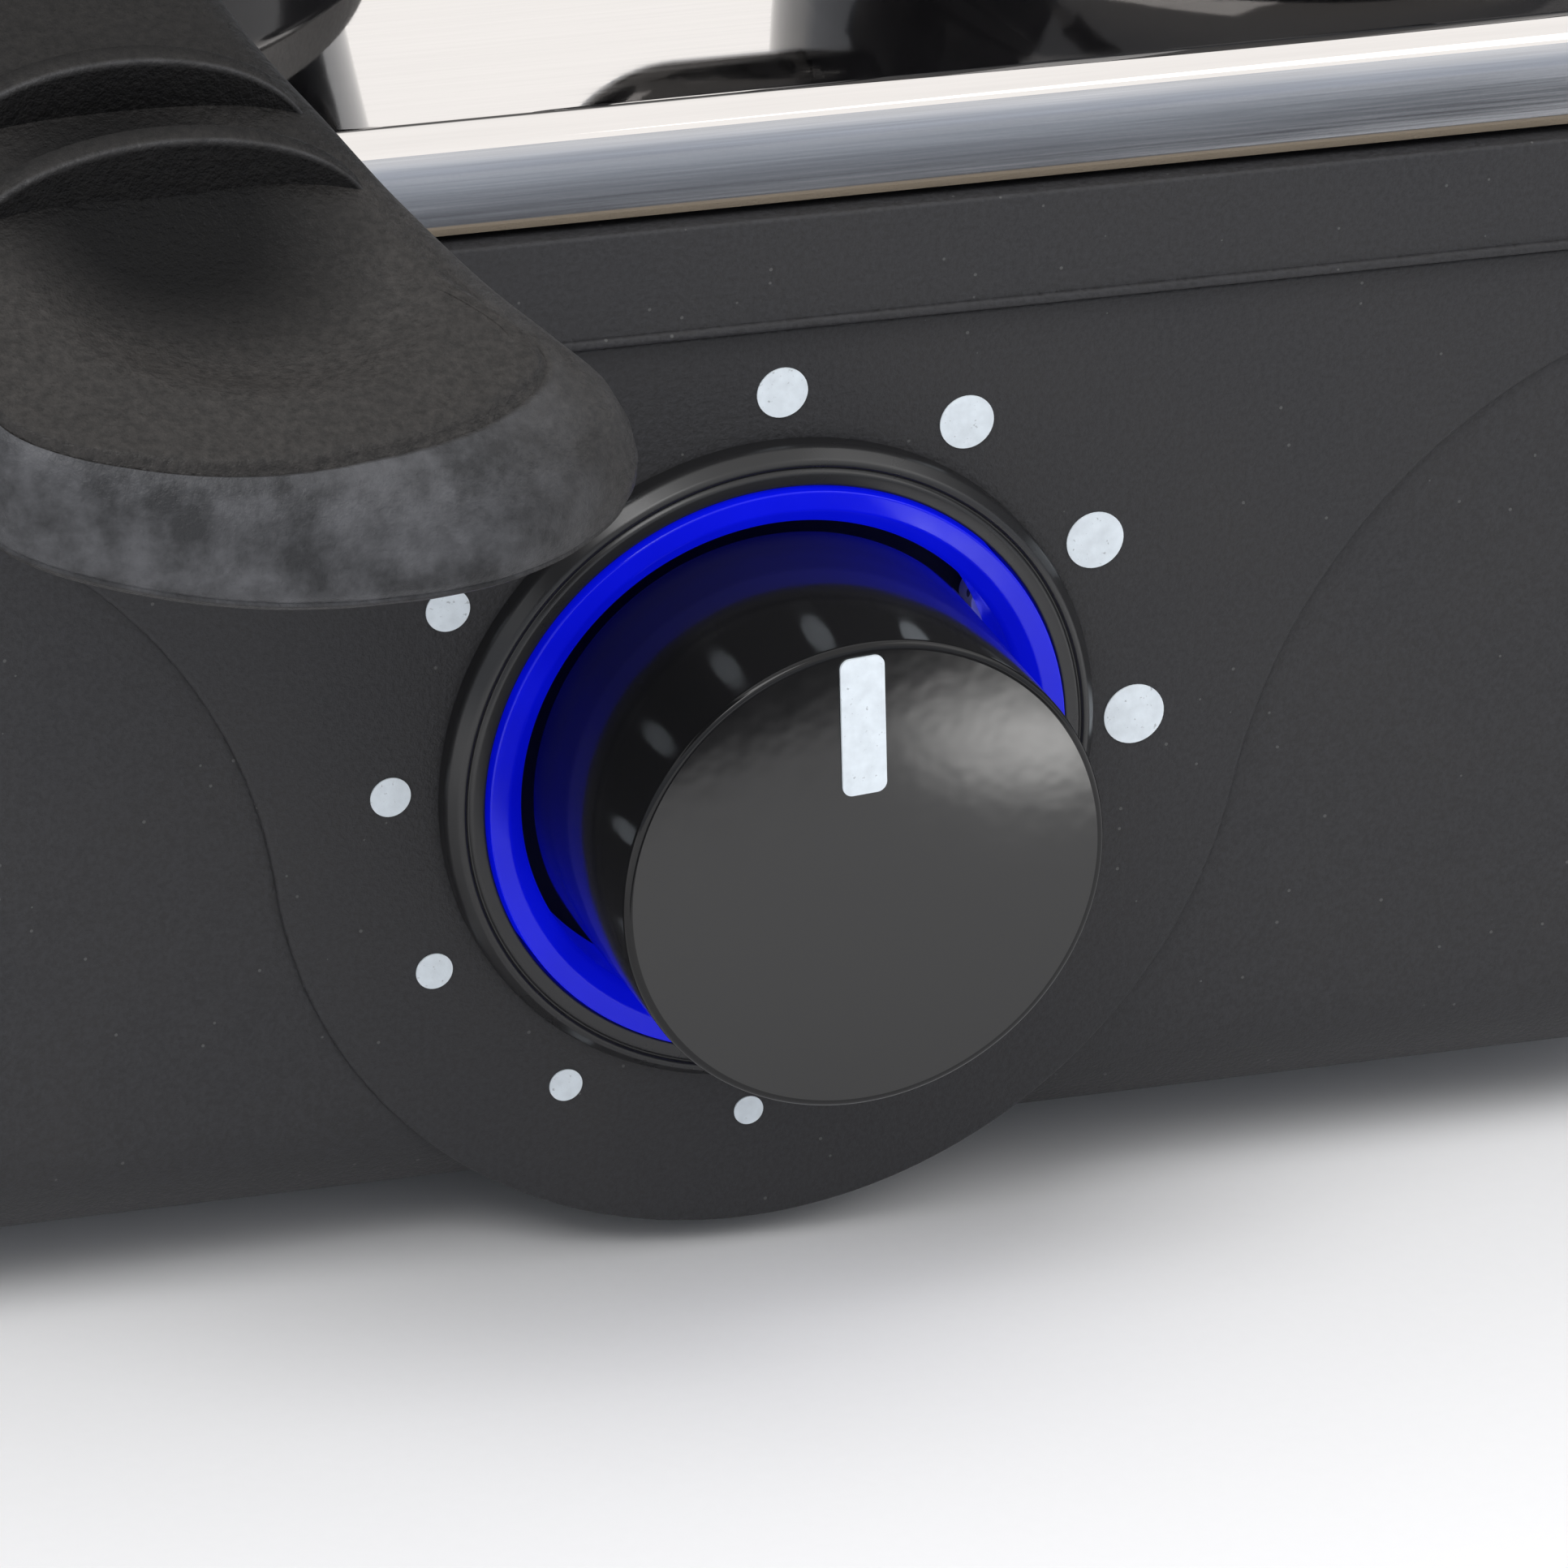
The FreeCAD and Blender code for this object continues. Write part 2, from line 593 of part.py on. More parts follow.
def section(y, half_width, half_height):
    """Closed superellipse across the handle."""
    points = []
    for k in range(16):
        angle = 2 * math.pi * k / 16
        across = math.copysign(abs(math.cos(angle)) ** 0.8, math.cos(angle))
        upward = math.copysign(abs(math.sin(angle)) ** 0.8, math.sin(angle))
        points.append(V(handle_offset(y) + half_width * across, y, handle_level(y) + half_height * upward))
    curve = Part.BSplineCurve()
    curve.interpolate(Points=points, PeriodicFlag=True)
    return Part.Wire([curve.toShape()])


tip = number("handle_tip")
stations = [(tip + 59, 9.8, 4.6), (tip + 41.5, 13.0, 4.8), (tip + 33.5, 15.4, 4.9),
            (tip + 26.5, 17.0, 4.9), (tip + 19.5, 18.9, 4.7), (tip + 13.5, 20.9, 4.5),
            (tip + 8.5, 21.8, 4.4), (tip + 5.5, 19.4, 4.2), (tip + 2.5, 14.0, 3.8),
            (tip + 0.8, 8.6, 3.0), (tip, 4.5, 2.0)]
grip = Part.makeLoft([section(*station) for station in stations], True, True)
fins = []
rise = number("fin_rise")
for y, half in ((tip + 33.5, 13.6), (tip + 26.5, 14.6)):
    disc = Part.makeCylinder(half, 2.0, V(handle_offset(y), y - 1, handle_level(y)), V(0, 1, 0))
    squash = FreeCAD.Matrix()
    squash.A33 = rise / half
    squash.A34 = handle_level(y) * (1 - rise / half)
    disc = disc.transformGeometry(squash)
    block = Part.makeBox(60, 10, 12, V(handle_offset(y) - 30, y - 4, handle_level(y) + 1))
    fins.append(disc.common(block))
screw_y = tip + 52.5
screw_spot = V(handle_offset(screw_y), screw_y, handle_level(screw_y))
slot = slanted(tip + 59.5, tip + 46, screw_spot.x, 6.2, 1.5)
screw_holes = [Part.makeCylinder(1.9, 8, screw_spot - V(0, 0, 8)),
               Part.makeCylinder(3.6, 4, screw_spot - V(0, 0, 7.6))]
keep("pan_handle", made("handle", grip.fuse(fins).cut([slot, *screw_holes])))
keep("handle_screw", turned([(0, -5.2), (2.2, -5.2), (3.4, -4.6), (3.4, -3.6), (1.8, -3.6), (1.8, -2.2),
                             (0, -2.2)], screw_spot.x, screw_y, screw_spot.z))
tang = slanted(number("large_y - large_radius") + 5, tip + 46.2, screw_spot.x, 6, 1.3)
pan_rest = V(number("large_x"), number("large_y"), number("deck_top + plate_rise + rest_gap"))
pan_outside = Part.makeCone(number("pan_base"), number("large_radius"), number("pan_depth"), pan_rest)
keep("pan_bracket", made("bracket", tang.cut(pan_outside)))

# ---- pot ----------------------------------------------------------------------------------------------
keep("pot_body", turned([(0, 0), ("pot_base", 0), ("pot_rim - 1.4", 6), ("pot_rim", 14),
                         ("pot_rim", "pot_depth - 2"), ("pot_rim + 1", "pot_depth"),
                         ("pot_rim - pot_wall", "pot_depth"), ("pot_rim - pot_wall", 14),
                         ("pot_rim - pot_wall - 1.6", 5), ("pot_base - 3", 2.6), (0, 2.6)],
                        "small_x", "small_y", "deck_top + plate_rise + rest_gap"))
pot_side = number("small_x - pot_rim")
pot_floor = number("deck_top + plate_rise + rest_gap")
pot_middle = number("small_y")
upper = pot_floor + 34
lower = pot_floor + 17
loop = tube([V(pot_side + 0.9, pot_middle, upper), V(pot_side - 15, pot_middle, upper),
             V(pot_side - 17, pot_middle, lower), V(pot_side + 0.9, pot_middle, lower)], 2.8)
loop = loop.cut(Part.makeCylinder(number("pot_rim"), 60, V(number("small_x"), pot_middle, pot_floor)))
keep("pot_handle", made("loop", loop))

# ---- checks and files ---------------------------------------------------------------------------------
doc.recompute()
for item in doc.Objects:
    if "Invalid" in item.State or "Error" in item.State:
        raise RuntimeError(f"{item.Label}: {item.State}")
os.makedirs("parts", exist_ok=True)
# Working heights count from a datum under the table; the written parts stand on the table at z = 0.
to_table = V(0, 0, -number("table"))
for label, item in nodes.items():
    if item.Shape.isNull() or not item.Shape.isValid() or not item.Shape.Solids:
        raise RuntimeError(f"{label} has no valid solid")
    item.Shape.translated(to_table).exportStep(f"parts/{label}.step")
    print(f"{label}: {len(item.Shape.Solids)} solids, {item.Shape.Volume:.0f} mm3")
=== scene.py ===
"""Looks of the table-top double hot plate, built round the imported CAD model.

Metres, +Z up, the front faces -Y.
"""
import math

import bmesh
import bpy
from mathutils import Matrix, Vector


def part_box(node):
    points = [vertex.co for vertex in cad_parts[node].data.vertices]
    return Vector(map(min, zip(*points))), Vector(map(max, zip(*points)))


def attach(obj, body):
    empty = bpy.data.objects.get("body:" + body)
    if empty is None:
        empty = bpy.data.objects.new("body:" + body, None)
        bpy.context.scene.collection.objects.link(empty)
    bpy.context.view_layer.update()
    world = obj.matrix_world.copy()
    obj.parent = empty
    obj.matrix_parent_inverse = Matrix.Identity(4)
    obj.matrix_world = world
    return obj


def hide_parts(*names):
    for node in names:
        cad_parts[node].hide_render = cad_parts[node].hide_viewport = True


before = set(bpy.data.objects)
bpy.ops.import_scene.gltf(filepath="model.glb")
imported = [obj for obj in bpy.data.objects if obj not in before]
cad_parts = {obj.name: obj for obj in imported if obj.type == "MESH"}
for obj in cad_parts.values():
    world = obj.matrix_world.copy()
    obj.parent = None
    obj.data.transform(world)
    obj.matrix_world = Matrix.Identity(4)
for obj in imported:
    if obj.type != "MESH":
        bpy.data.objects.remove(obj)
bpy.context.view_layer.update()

MM = 0.001
OUT = "out"  # lathe axis towards the viewer of the front
UP = "up"  # lathe axis straight up
AXIS_GAP = 0.001  # millimetres: the smallest radius of a lathed face, so that its middle isn't doubled

# Places that everything else is measured from.
dots_low, dots_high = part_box("dial_dots")
knob_low, knob_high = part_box("knob")
PANEL_Y = dots_high.y
DIAL = Vector(((knob_low.x + knob_high.x) / 2, PANEL_Y, (knob_low.z + knob_high.z) / 2))


def scaled(colour, share):
    """The same hue, lighter or darker."""
    return tuple(share * channel for channel in colour)


# ---- materials ----------------------------------------------------------------------------------------
class Paint:
    """One node material under construction."""

    def __init__(self, name, colour, roughness, metallic=0.0, **sockets):
        self.material = bpy.data.materials.new(name)
        self.material.use_nodes = True
        self.tree = self.material.node_tree
        self.shader = self.tree.nodes["Principled BSDF"]
        self.shader.inputs["Base Color"].default_value = (*colour, 1.0)
        self.shader.inputs["Roughness"].default_value = roughness
        self.shader.inputs["Metallic"].default_value = metallic
        for socket, value in sockets.items():
            self.shader.inputs[socket.replace("_", " ")].default_value = value
        self.place = self.node("ShaderNodeTexCoord").outputs["Object"]

    def node(self, kind, **settings):
        item = self.tree.nodes.new(kind)
        for key, value in settings.items():
            setattr(item, key, value)
        return item

    def feed(self, item, **links):
        """Sets or links a node's inputs by name."""
        for key, value in links.items():
            socket = item.inputs[int(key[1:])] if key[0] == "_" else item.inputs[key.replace("_", " ")]
            if isinstance(value, bpy.types.NodeSocket):
                self.tree.links.new(value, socket)
            else:
                socket.default_value = value
        return item

    def stretched(self, scale):
        mapping = self.feed(self.node("ShaderNodeMapping"), Vector=self.place, Scale=scale)
        return mapping.outputs["Vector"]

    def noise(self, scale, detail=3.0, roughness=0.55, vector=None):
        item = self.feed(self.node("ShaderNodeTexNoise"), Vector=vector or self.place, Scale=scale,
                         Detail=detail, Roughness=roughness)
        return item.outputs["Fac"]

    def ramp(self, factor, stops):
        item = self.feed(self.node("ShaderNodeValToRGB"), Fac=factor)
        points = item.color_ramp.elements
        while len(points) < len(stops):
            points.new(0.5)
        for point, (place, value) in zip(points, stops):
            point.position = place
            point.color = (*value, 1.0) if isinstance(value, tuple) else (value, value, value, 1.0)
        return item.outputs["Color"]

    def mix(self, factor, first, second):
        item = self.node("ShaderNodeMix", data_type="RGBA")
        sockets = (item.inputs[0], item.inputs[6], item.inputs[7])
        for socket, value in zip(sockets, (factor, first, second)):
            if isinstance(value, bpy.types.NodeSocket):
                self.tree.links.new(value, socket)
            else:
                socket.default_value = (*value, 1.0) if isinstance(value, tuple) else value
        return item.outputs[2]

    def maths(self, operation, first, second):
        item = self.node("ShaderNodeMath", operation=operation)
        return self.feed(item, _0=first, _1=second).outputs[0]

    def bump(self, height, distance):
        item = self.feed(self.node("ShaderNodeBump"), Height=height, Distance=distance, Strength=1.0)
        return item.outputs["Normal"]

    def colour(self, value):
        self.feed(self.shader, Base_Color=value)

    def rough(self, value):
        self.feed(self.shader, Roughness=value)

    def normal(self, value):
        self.feed(self.shader, Normal=value)


def mirror(name, colour):
    """Polished sheet with a trace of waviness and hairlines."""
    paint = Paint(name, colour, 0.02, 1.0)
    hair = paint.noise(1.0, 4.0, 0.6, paint.stretched((60.0, 2600.0, 2600.0)))
    paint.rough(paint.ramp(hair, [(0.3, 0.015), (0.8, 0.05)]))
    hairline = paint.ramp(hair, [(0.3, 0.0), (0.8, 1.0)])
    paint.colour(paint.mix(hairline, colour, scaled(colour, 0.95)))
    paint.normal(paint.bump(paint.noise(18.0, 1.0), 0.00002))
    return paint.material


def specks(paint, scale, share):
    """Mask of sparse tiny dust specks."""
    cells = paint.feed(paint.node("ShaderNodeTexVoronoi", feature="F1"), Vector=paint.place, Scale=scale)
    parts = paint.feed(paint.node("ShaderNodeSeparateColor"), Color=cells.outputs["Color"])
    chosen = paint.maths("LESS_THAN", parts.outputs[0], share)
    close = paint.maths("LESS_THAN", cells.outputs["Distance"], 0.16)
    return paint.maths("MULTIPLY", chosen, close)


def moulded(name, colour, warm, grain, depth, roughness):
    """Matt moulded plastic: eroded grain, faint mottling and a little dust."""
    paint = Paint(name, colour, roughness, IOR=1.46, Specular_IOR_Level=0.25)
    fine = paint.noise(grain, 2.0, 0.7)
    broad = paint.noise(70.0, 4.0, 0.6)
    mottled = paint.mix(paint.ramp(broad, [(0.3, 0.0), (0.7, 1.0)]), colour, warm)
    raised = paint.ramp(fine, [(0.36, 0.0), (0.68, 0.8)])
    grained = paint.mix(raised, mottled, scaled(colour, 1.55))
    dusty = paint.mix(specks(paint, 1300.0, 0.04), grained, (0.075, 0.075, 0.075))
    paint.colour(dusty)
    paint.rough(paint.ramp(fine, [(0.25, roughness - 0.1), (0.8, roughness + 0.12)]))
    paint.normal(paint.bump(fine, depth))
    return paint.material


def grip_painted_light(name):
    """Coarse matt grip, with painted shade darkening the thumb dish and a painted sheen lightening the
    skirt and the fins' edges.
    """
    paint = Paint(name, (0.013, 0.012, 0.0115), 0.5, IOR=1.46, Specular_IOR_Level=0.30)
    fine = paint.noise(2400.0, 2.0, 0.7)
    broad = paint.noise(240.0, 4.0, 0.65)
    # The skirt attribute carries the painted sheen mask and the bowl attribute the painted shade mask,
    # both set per vertex in make_handle.
    skirt = paint.node("ShaderNodeAttribute", attribute_name="skirt").outputs["Fac"]
    bowl = paint.node("ShaderNodeAttribute", attribute_name="bowl").outputs["Fac"]
    coarse = paint.noise(1500.0, 3.0, 0.7)
    grained = paint.mix(paint.ramp(coarse, [(0.36, 0.0), (0.68, 1.0)]), (0.0115, 0.0105, 0.0099),
                        (0.027, 0.0245, 0.023))
    # Painted sheen: lighter mottled colour where the skirt and the fins' edges catch the light.
    painted_sheen = paint.mix(paint.ramp(broad, [(0.36, 0.0), (0.66, 1.0)]), (0.019, 0.0195, 0.0215),
                       (0.070, 0.071, 0.077))
    skirted = paint.mix(skirt, grained, painted_sheen)
    # Painted shade: near-black colour in the thumb dish and behind the fins, where their shadow falls.
    paint.colour(paint.mix(bowl, skirted, (0.0035, 0.0035, 0.0038)))
    # The dish's reflection is also turned down, which deepens the painted shade.
    dulled = paint.maths("MULTIPLY", bowl, 0.2)
    paint.feed(paint.shader, Specular_IOR_Level=paint.maths("SUBTRACT", 0.32, dulled))
    paint.rough(paint.ramp(fine, [(0.25, 0.42), (0.8, 0.62)]))
    paint.normal(paint.bump(paint.maths("ADD", fine, coarse), 0.00012))
    return paint.material


def glossy(name, colour, roughness, haze=0.04, density=1.5):
    """Polished plastic or enamel with faint smears and orange peel."""
    paint = Paint(name, colour, roughness, IOR=density)
    smear = paint.noise(160.0, 4.0, 0.6)
    paint.rough(paint.ramp(smear, [(0.3, roughness), (0.8, roughness + haze)]))
    peel = paint.noise(500.0, 1.0, 0.5)
    flecks = specks(paint, 300.0, 0.02)
    paint.colour(paint.mix(flecks, colour, (0.16, 0.16, 0.16)))
    paint.normal(paint.bump(peel, 0.000008))
    return paint.material


def metal(name, colour, roughness, streaks=(900.0, 900.0, 900.0), depth=0.000004):
    """Bare metal. streaks is the stretch of the brushing along X, Y and Z."""
    paint = Paint(name, colour, roughness, 1.0)
    scratch = paint.noise(1.0, 5.0, 0.65, paint.stretched(streaks))
    cloud = paint.noise(25.0, 3.0)
    tone = paint.mix(paint.ramp(scratch, [(0.3, 0.0), (0.7, 1.0)]), scaled(colour, 0.8), colour)
    dulled = paint.ramp(cloud, [(0.3, 0.0), (0.8, 0.3)])
    paint.colour(paint.mix(dulled, tone, scaled(colour, 0.7)))
    paint.rough(paint.ramp(scratch, [(0.25, roughness * 0.75), (0.75, roughness * 1.3)]))
    paint.normal(paint.bump(scratch, depth))
    return paint.material


def printed(name, colour):
    """Pad-printed ink with pinholes."""
    paint = Paint(name, colour, 0.55)
    pin = paint.noise(2600.0, 2.0, 0.6)
    wash = paint.noise(900.0, 2.0)
    inked = paint.mix(paint.ramp(wash, [(0.35, 0.0), (0.75, 1.0)]), colour, scaled(colour, 0.86))
    pinholes = paint.ramp(pin, [(0.66, 0.0), (0.72, 0.75)])
    paint.colour(paint.mix(pinholes, inked, scaled(colour, 0.45)))
    paint.normal(paint.bump(pin, 0.00002))
    return paint.material


def lit_ring(name):
    """Blue translucent ring lit from behind, a little uneven."""
    paint = Paint(name, (0.001, 0.002, 0.30), 0.12, IOR=1.36, Emission_Strength=0.75)
    cloud = paint.noise(60.0, 2.0)
    glow = paint.ramp(cloud, [(0.35, (0.001, 0.003, 0.42)), (0.65, (0.002, 0.006, 0.66))])
    paint.feed(paint.shader, Emission_Color=glow)
    paint.rough(paint.ramp(paint.noise(300.0), [(0.3, 0.1), (0.7, 0.2)]))
    return paint.material


def ceramic(name, colour):
    """Unglazed ceramic with pores."""
    paint = Paint(name, colour, 0.75)
    pores = paint.noise(1500.0, 2.0, 0.6)
    pitted = paint.ramp(pores, [(0.6, 0.0), (0.75, 0.6)])
    paint.colour(paint.mix(pitted, colour, scaled(colour, 0.6)))
    paint.normal(paint.bump(pores, 0.00004))
    return paint.material


def cast_iron(name):
    """Gritty black burnt-in coating on a cast plate, clouded grey and brown."""
    paint = Paint(name, (0.03, 0.03, 0.031), 0.5)
    grit = paint.noise(1800.0, 3.0, 0.7)
    cloud = paint.noise(45.0, 4.0)
    burnt = paint.ramp(cloud, [(0.35, 0.0), (0.75, 1.0)])
    paint.colour(paint.mix(burnt, (0.022, 0.022, 0.023), (0.05, 0.047, 0.044)))
    paint.rough(paint.ramp(grit, [(0.3, 0.42), (0.75, 0.65)]))
    paint.normal(paint.bump(grit, 0.00005))
    return paint.material


SHELL = moulded("shell_plastic", (0.0235, 0.0235, 0.0255), (0.0265, 0.0258, 0.0265),
                2500.0, 0.00009, 0.5)
GRIP = grip_painted_light("grip_plastic")
GLOSS = glossy("gloss_black", (0.007, 0.007, 0.0075), 0.09, density=1.36)
BEZEL = glossy("bezel_satin", (0.012, 0.012, 0.013), 0.26, 0.06)
KNOB_FACE = glossy("knob_face", (0.003, 0.003, 0.0032), 0.085, 0.04, 1.59)
ENAMEL = glossy("black_enamel", (0.008, 0.008, 0.009), 0.06, 0.03)
MIRROR = mirror("mirror_steel", (0.86, 0.83, 0.81))
BRUSHED_X = metal("brushed_steel_front", (0.56, 0.57, 0.60), 0.19, (45.0, 900.0, 5200.0), 0.000003)
BRUSHED_Y = metal("brushed_steel_side", (0.56, 0.57, 0.60), 0.19, (900.0, 45.0, 5200.0), 0.000003)
CUT_EDGE = metal("sheared_edge", (0.30, 0.25, 0.19), 0.5, (6000.0, 6000.0, 6000.0), 0.00005)
ZINC = metal("zinc_plate", (0.62, 0.63, 0.65), 0.3)
HEATED = metal("heat_tinted_steel", (0.30, 0.27, 0.25), 0.45)
BRASS = metal("brass", (0.75, 0.58, 0.27), 0.3)
IRON = cast_iron("cast_plate")
INK = printed("white_ink", (0.68, 0.74, 0.79))
BLUE = lit_ring("blue_light")
CERAMIC = ceramic("white_ceramic", (0.80, 0.77, 0.70))
MICA = ceramic("mica", (0.50, 0.38, 0.22))
# Painted shade: the board is made nearly black so that the gap between the knob and the light ring,
# through which it shows, reads dark.
BOARD = ceramic("board_dark_as_gap_shade", (0.004, 0.006, 0.005))
LAMP = glossy("lamp_epoxy", (0.8, 0.8, 0.85), 0.1)
RUBBER = moulded("foot_rubber", (0.02, 0.02, 0.02), (0.028, 0.027, 0.026), 2200.0, 0.00006, 0.75)
SILICONE = moulded("wire_silicone", (0.42, 0.05, 0.035), (0.36, 0.05, 0.04), 1500.0, 0.00003, 0.5)

FINISH = {
    SHELL: ("base_tub", "fascia", "upper_band", "inlet_socket"),
    ZINC: ("bottom_cover", "clamp_bridge_large", "clamp_bridge_small", "heat_shield",
           "thermostat_bracket", "thermostat_nut", "thermostat_shaft", "knob_clip", "bimetal_blade",
           "burner_stud_large", "burner_stud_small", "burner_nut_large", "burner_nut_small",
           "cover_screws", "inlet_screws", "handle_screw", "pan_bracket"),
    RUBBER: ("rubber_feet",),
    INK: ("dial_dots", "knob_pointer"),
    GLOSS: ("knob", "bezel_ring"),
    BLUE: ("light_ring",),
    LAMP: ("ring_lamps",),
    BOARD: ("light_board",),
    BRASS: ("thermostat_bush", "thermostat_terminals", "inlet_pins", "earth_screw"),
    CERAMIC: ("thermostat_body", "terminal_block", "thermal_fuse"),
    IRON: ("hot_plate_large", "hot_plate_small"),
    ENAMEL: ("burner_drum_large", "burner_drum_small", "pan_body", "pot_body", "pot_handle"),
    HEATED: ("heating_element_large", "heating_element_small", "element_terminals_large",
             "element_terminals_small"),
    MICA: ("mica_disc_large", "mica_disc_small"),
    SILICONE: ("internal_wiring",),
    GRIP: ("pan_handle",),
    MIRROR: ("deck_tray",),
}
for finish, names in FINISH.items():
    for name in names:
        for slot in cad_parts[name].material_slots:
            slot.material = finish


# ---- refined shapes -----------------------------------------------------------------------------------
def settle(name, build, finish, body, *nodes):
    """Turns a bmesh into a smooth piece that rides on a body and stands for CAD nodes."""
    bmesh.ops.recalc_face_normals(build, faces=build.faces)
    mesh = bpy.data.meshes.new(name)
    build.to_mesh(mesh)
    build.free()
    for material in finish:
        mesh.materials.append(material)
    mesh.shade_smooth()
    mesh.set_sharp_from_angle(angle=math.radians(38))
    piece = bpy.data.objects.new(name, mesh)
    bpy.context.collection.objects.link(piece)
    even = piece.modifiers.new("even", "WEIGHTED_NORMAL")
    even.keep_sharp = True
    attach(piece, body)
    if nodes:
        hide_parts(*nodes)


def rounded_profile(corners, steps=5):
    """Points of an outline whose corners, given as (across, along, radius), are rounded."""
    points = []
    count = len(corners)
    for index, (across, along, radius) in enumerate(corners):
        here = Vector((across, along))
        if radius <= 0:
            points.append(here)
            continue
        before = (Vector(corners[index - 1][:2]) - here)
        after = (Vector(corners[(index + 1) % count][:2]) - here)
        reach = min(radius, before.length * 0.49, after.length * 0.49)
        start = here + before.normalized() * reach
        end = here + after.normalized() * reach
        for step in range(steps + 1):
            part = step / steps
            points.append(start * (1 - part) ** 2 + here * 2 * part * (1 - part) + end * part ** 2)
    return points


def lathe(build, profile, heart, axis, segments, slots=None):
    """Spins a closed profile of (radius, along) round an axis through heart.

    slots gives each row of faces its material.
    """
    rings = []
    for across, along in profile:
        ring = []
        for step in range(segments):
            angle = 2 * math.pi * step / segments
            one, two = across * math.cos(angle), across * math.sin(angle)
            spot = Vector((one, two, along)) if axis == UP else Vector((one, -along, two))
            ring.append(build.verts.new(heart + spot))
        rings.append(ring)
    for index, (first, second) in enumerate(zip(rings, rings[1:] + rings[:1])):
        for step in range(segments):
            after = (step + 1) % segments
            quad = build.faces.new((first[step], first[after], second[after], second[step]))
            quad.material_index = slots[index] if slots else 0


def millimetres(points):
    """The same points in metres."""
    return [(across * MM, along * MM) for across, along in points]


def skin(build, rings, capped=True, closed=True):
    """Joins rings of points into a surface and gives back their vertices."""
    placed = [[build.verts.new(point) for point in ring] for ring in rings]
    count = len(placed[0])
    for first, second in zip(placed, placed[1:]):
        for step in range(count if closed else count - 1):
            after = (step + 1) % count
            build.faces.new((first[step], first[after], second[after], second[step]))
    if capped:
        build.faces.new(placed[0])
        build.faces.new(placed[-1])
    return placed


def box_span(name):
    """A node's lowest corner, highest corner and middle."""
    low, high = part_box(name)
    return low, high, (low + high) / 2


# ---- knob, bezel and light ring
def make_dial():
    """Hollow knob with its bore, the bezel round it and the light ring, all turned on one axis."""
    knob_front = (PANEL_Y - knob_low.y) / MM
    radius = (knob_high.x - knob_low.x) / 2 / MM
    back = -(knob_high.y - PANEL_Y) / MM
    bore, hub, wall = 3.06, 5.6, 2.2
    web, bore_end = 12.0, 15.6
    outline = rounded_profile([
        (bore, back, 0), (hub, back, 0.2), (hub, web, 0), (radius - wall, web, 0),
        (radius - wall, 1.0, 0.3), (radius, 1.0, 0.4), (radius, knob_front, 0.55),
        (AXIS_GAP, knob_front, 0), (AXIS_GAP, bore_end, 0), (bore, bore_end, 0)])
    build = bmesh.new()
    profile = millimetres(outline)
    face = [1 if along > (knob_front - 0.02) * MM and across < (radius - 0.5) * MM else 0
            for across, along in profile]
    lathe(build, profile, DIAL, OUT, 224, face)
    settle("knob_shell", build, (GLOSS, KNOB_FACE), "knob", "knob")

    low, high, _ = box_span("bezel_ring")
    outer = (high.x - low.x) / 2 / MM
    proud = (PANEL_Y - low.y) / MM
    back = -(high.y - PANEL_Y) / MM
    inner = 20.75
    outline = rounded_profile([
        (inner, back, 0), (outer - 0.9, back, 0), (outer - 0.9, 0.02, 0), (outer, 0.02, 0),
        (outer, proud - 1.15, 0.35), (outer - 0.75, proud - 0.15, 0.4), (outer - 1.1, proud, 0.2),
        (outer - 1.35, proud - 0.28, 0.12), (outer - 1.6, proud, 0.15), (inner, proud, 0.2)])
    build = bmesh.new()
    lathe(build, millimetres(outline), DIAL, OUT, 224)
    settle("bezel_shell", build, (BEZEL,), "base", "bezel_ring")

    low, high, _ = box_span("light_ring")
    outer = (high.x - low.x) / 2 / MM
    proud = (PANEL_Y - low.y) / MM
    back = -(high.y - PANEL_Y) / MM
    inner = 18.0
    outline = rounded_profile([
        (inner, back, 0), (outer, back, 0), (outer, proud, 0.15), (inner + 1.2, proud, 0.15),
        (inner, proud - 0.9, 0.5)])
    build = bmesh.new()
    lathe(build, millimetres(outline), DIAL, OUT, 224)
    settle("glow_ring", build, (BLUE,), "base", "light_ring")


# ---- steel deck
def rectangle_ring(half_x, low_y, high_y, corner, height, steps=24):
    """Rounded rectangle at one height, with evenly split straights."""
    def around(mid_x, mid_y, turn):
        angle = math.radians(turn)
        return Vector((mid_x + corner * math.cos(angle), mid_y + corner * math.sin(angle), height))

    points = []
    corners = [(half_x - corner, low_y + corner, -90), (half_x - corner, high_y - corner, 0),
               (-half_x + corner, high_y - corner, 90), (-half_x + corner, low_y + corner, 180)]
    pieces = 12
    for index, (mid_x, mid_y, start) in enumerate(corners):
        arc = [around(mid_x, mid_y, start + 90 * step / steps) for step in range(steps + 1)]
        points.extend(arc)
        goal = around(*corners[(index + 1) % 4])
        points.extend(arc[-1].lerp(goal, part / pieces) for part in range(1, pieces))
    return points


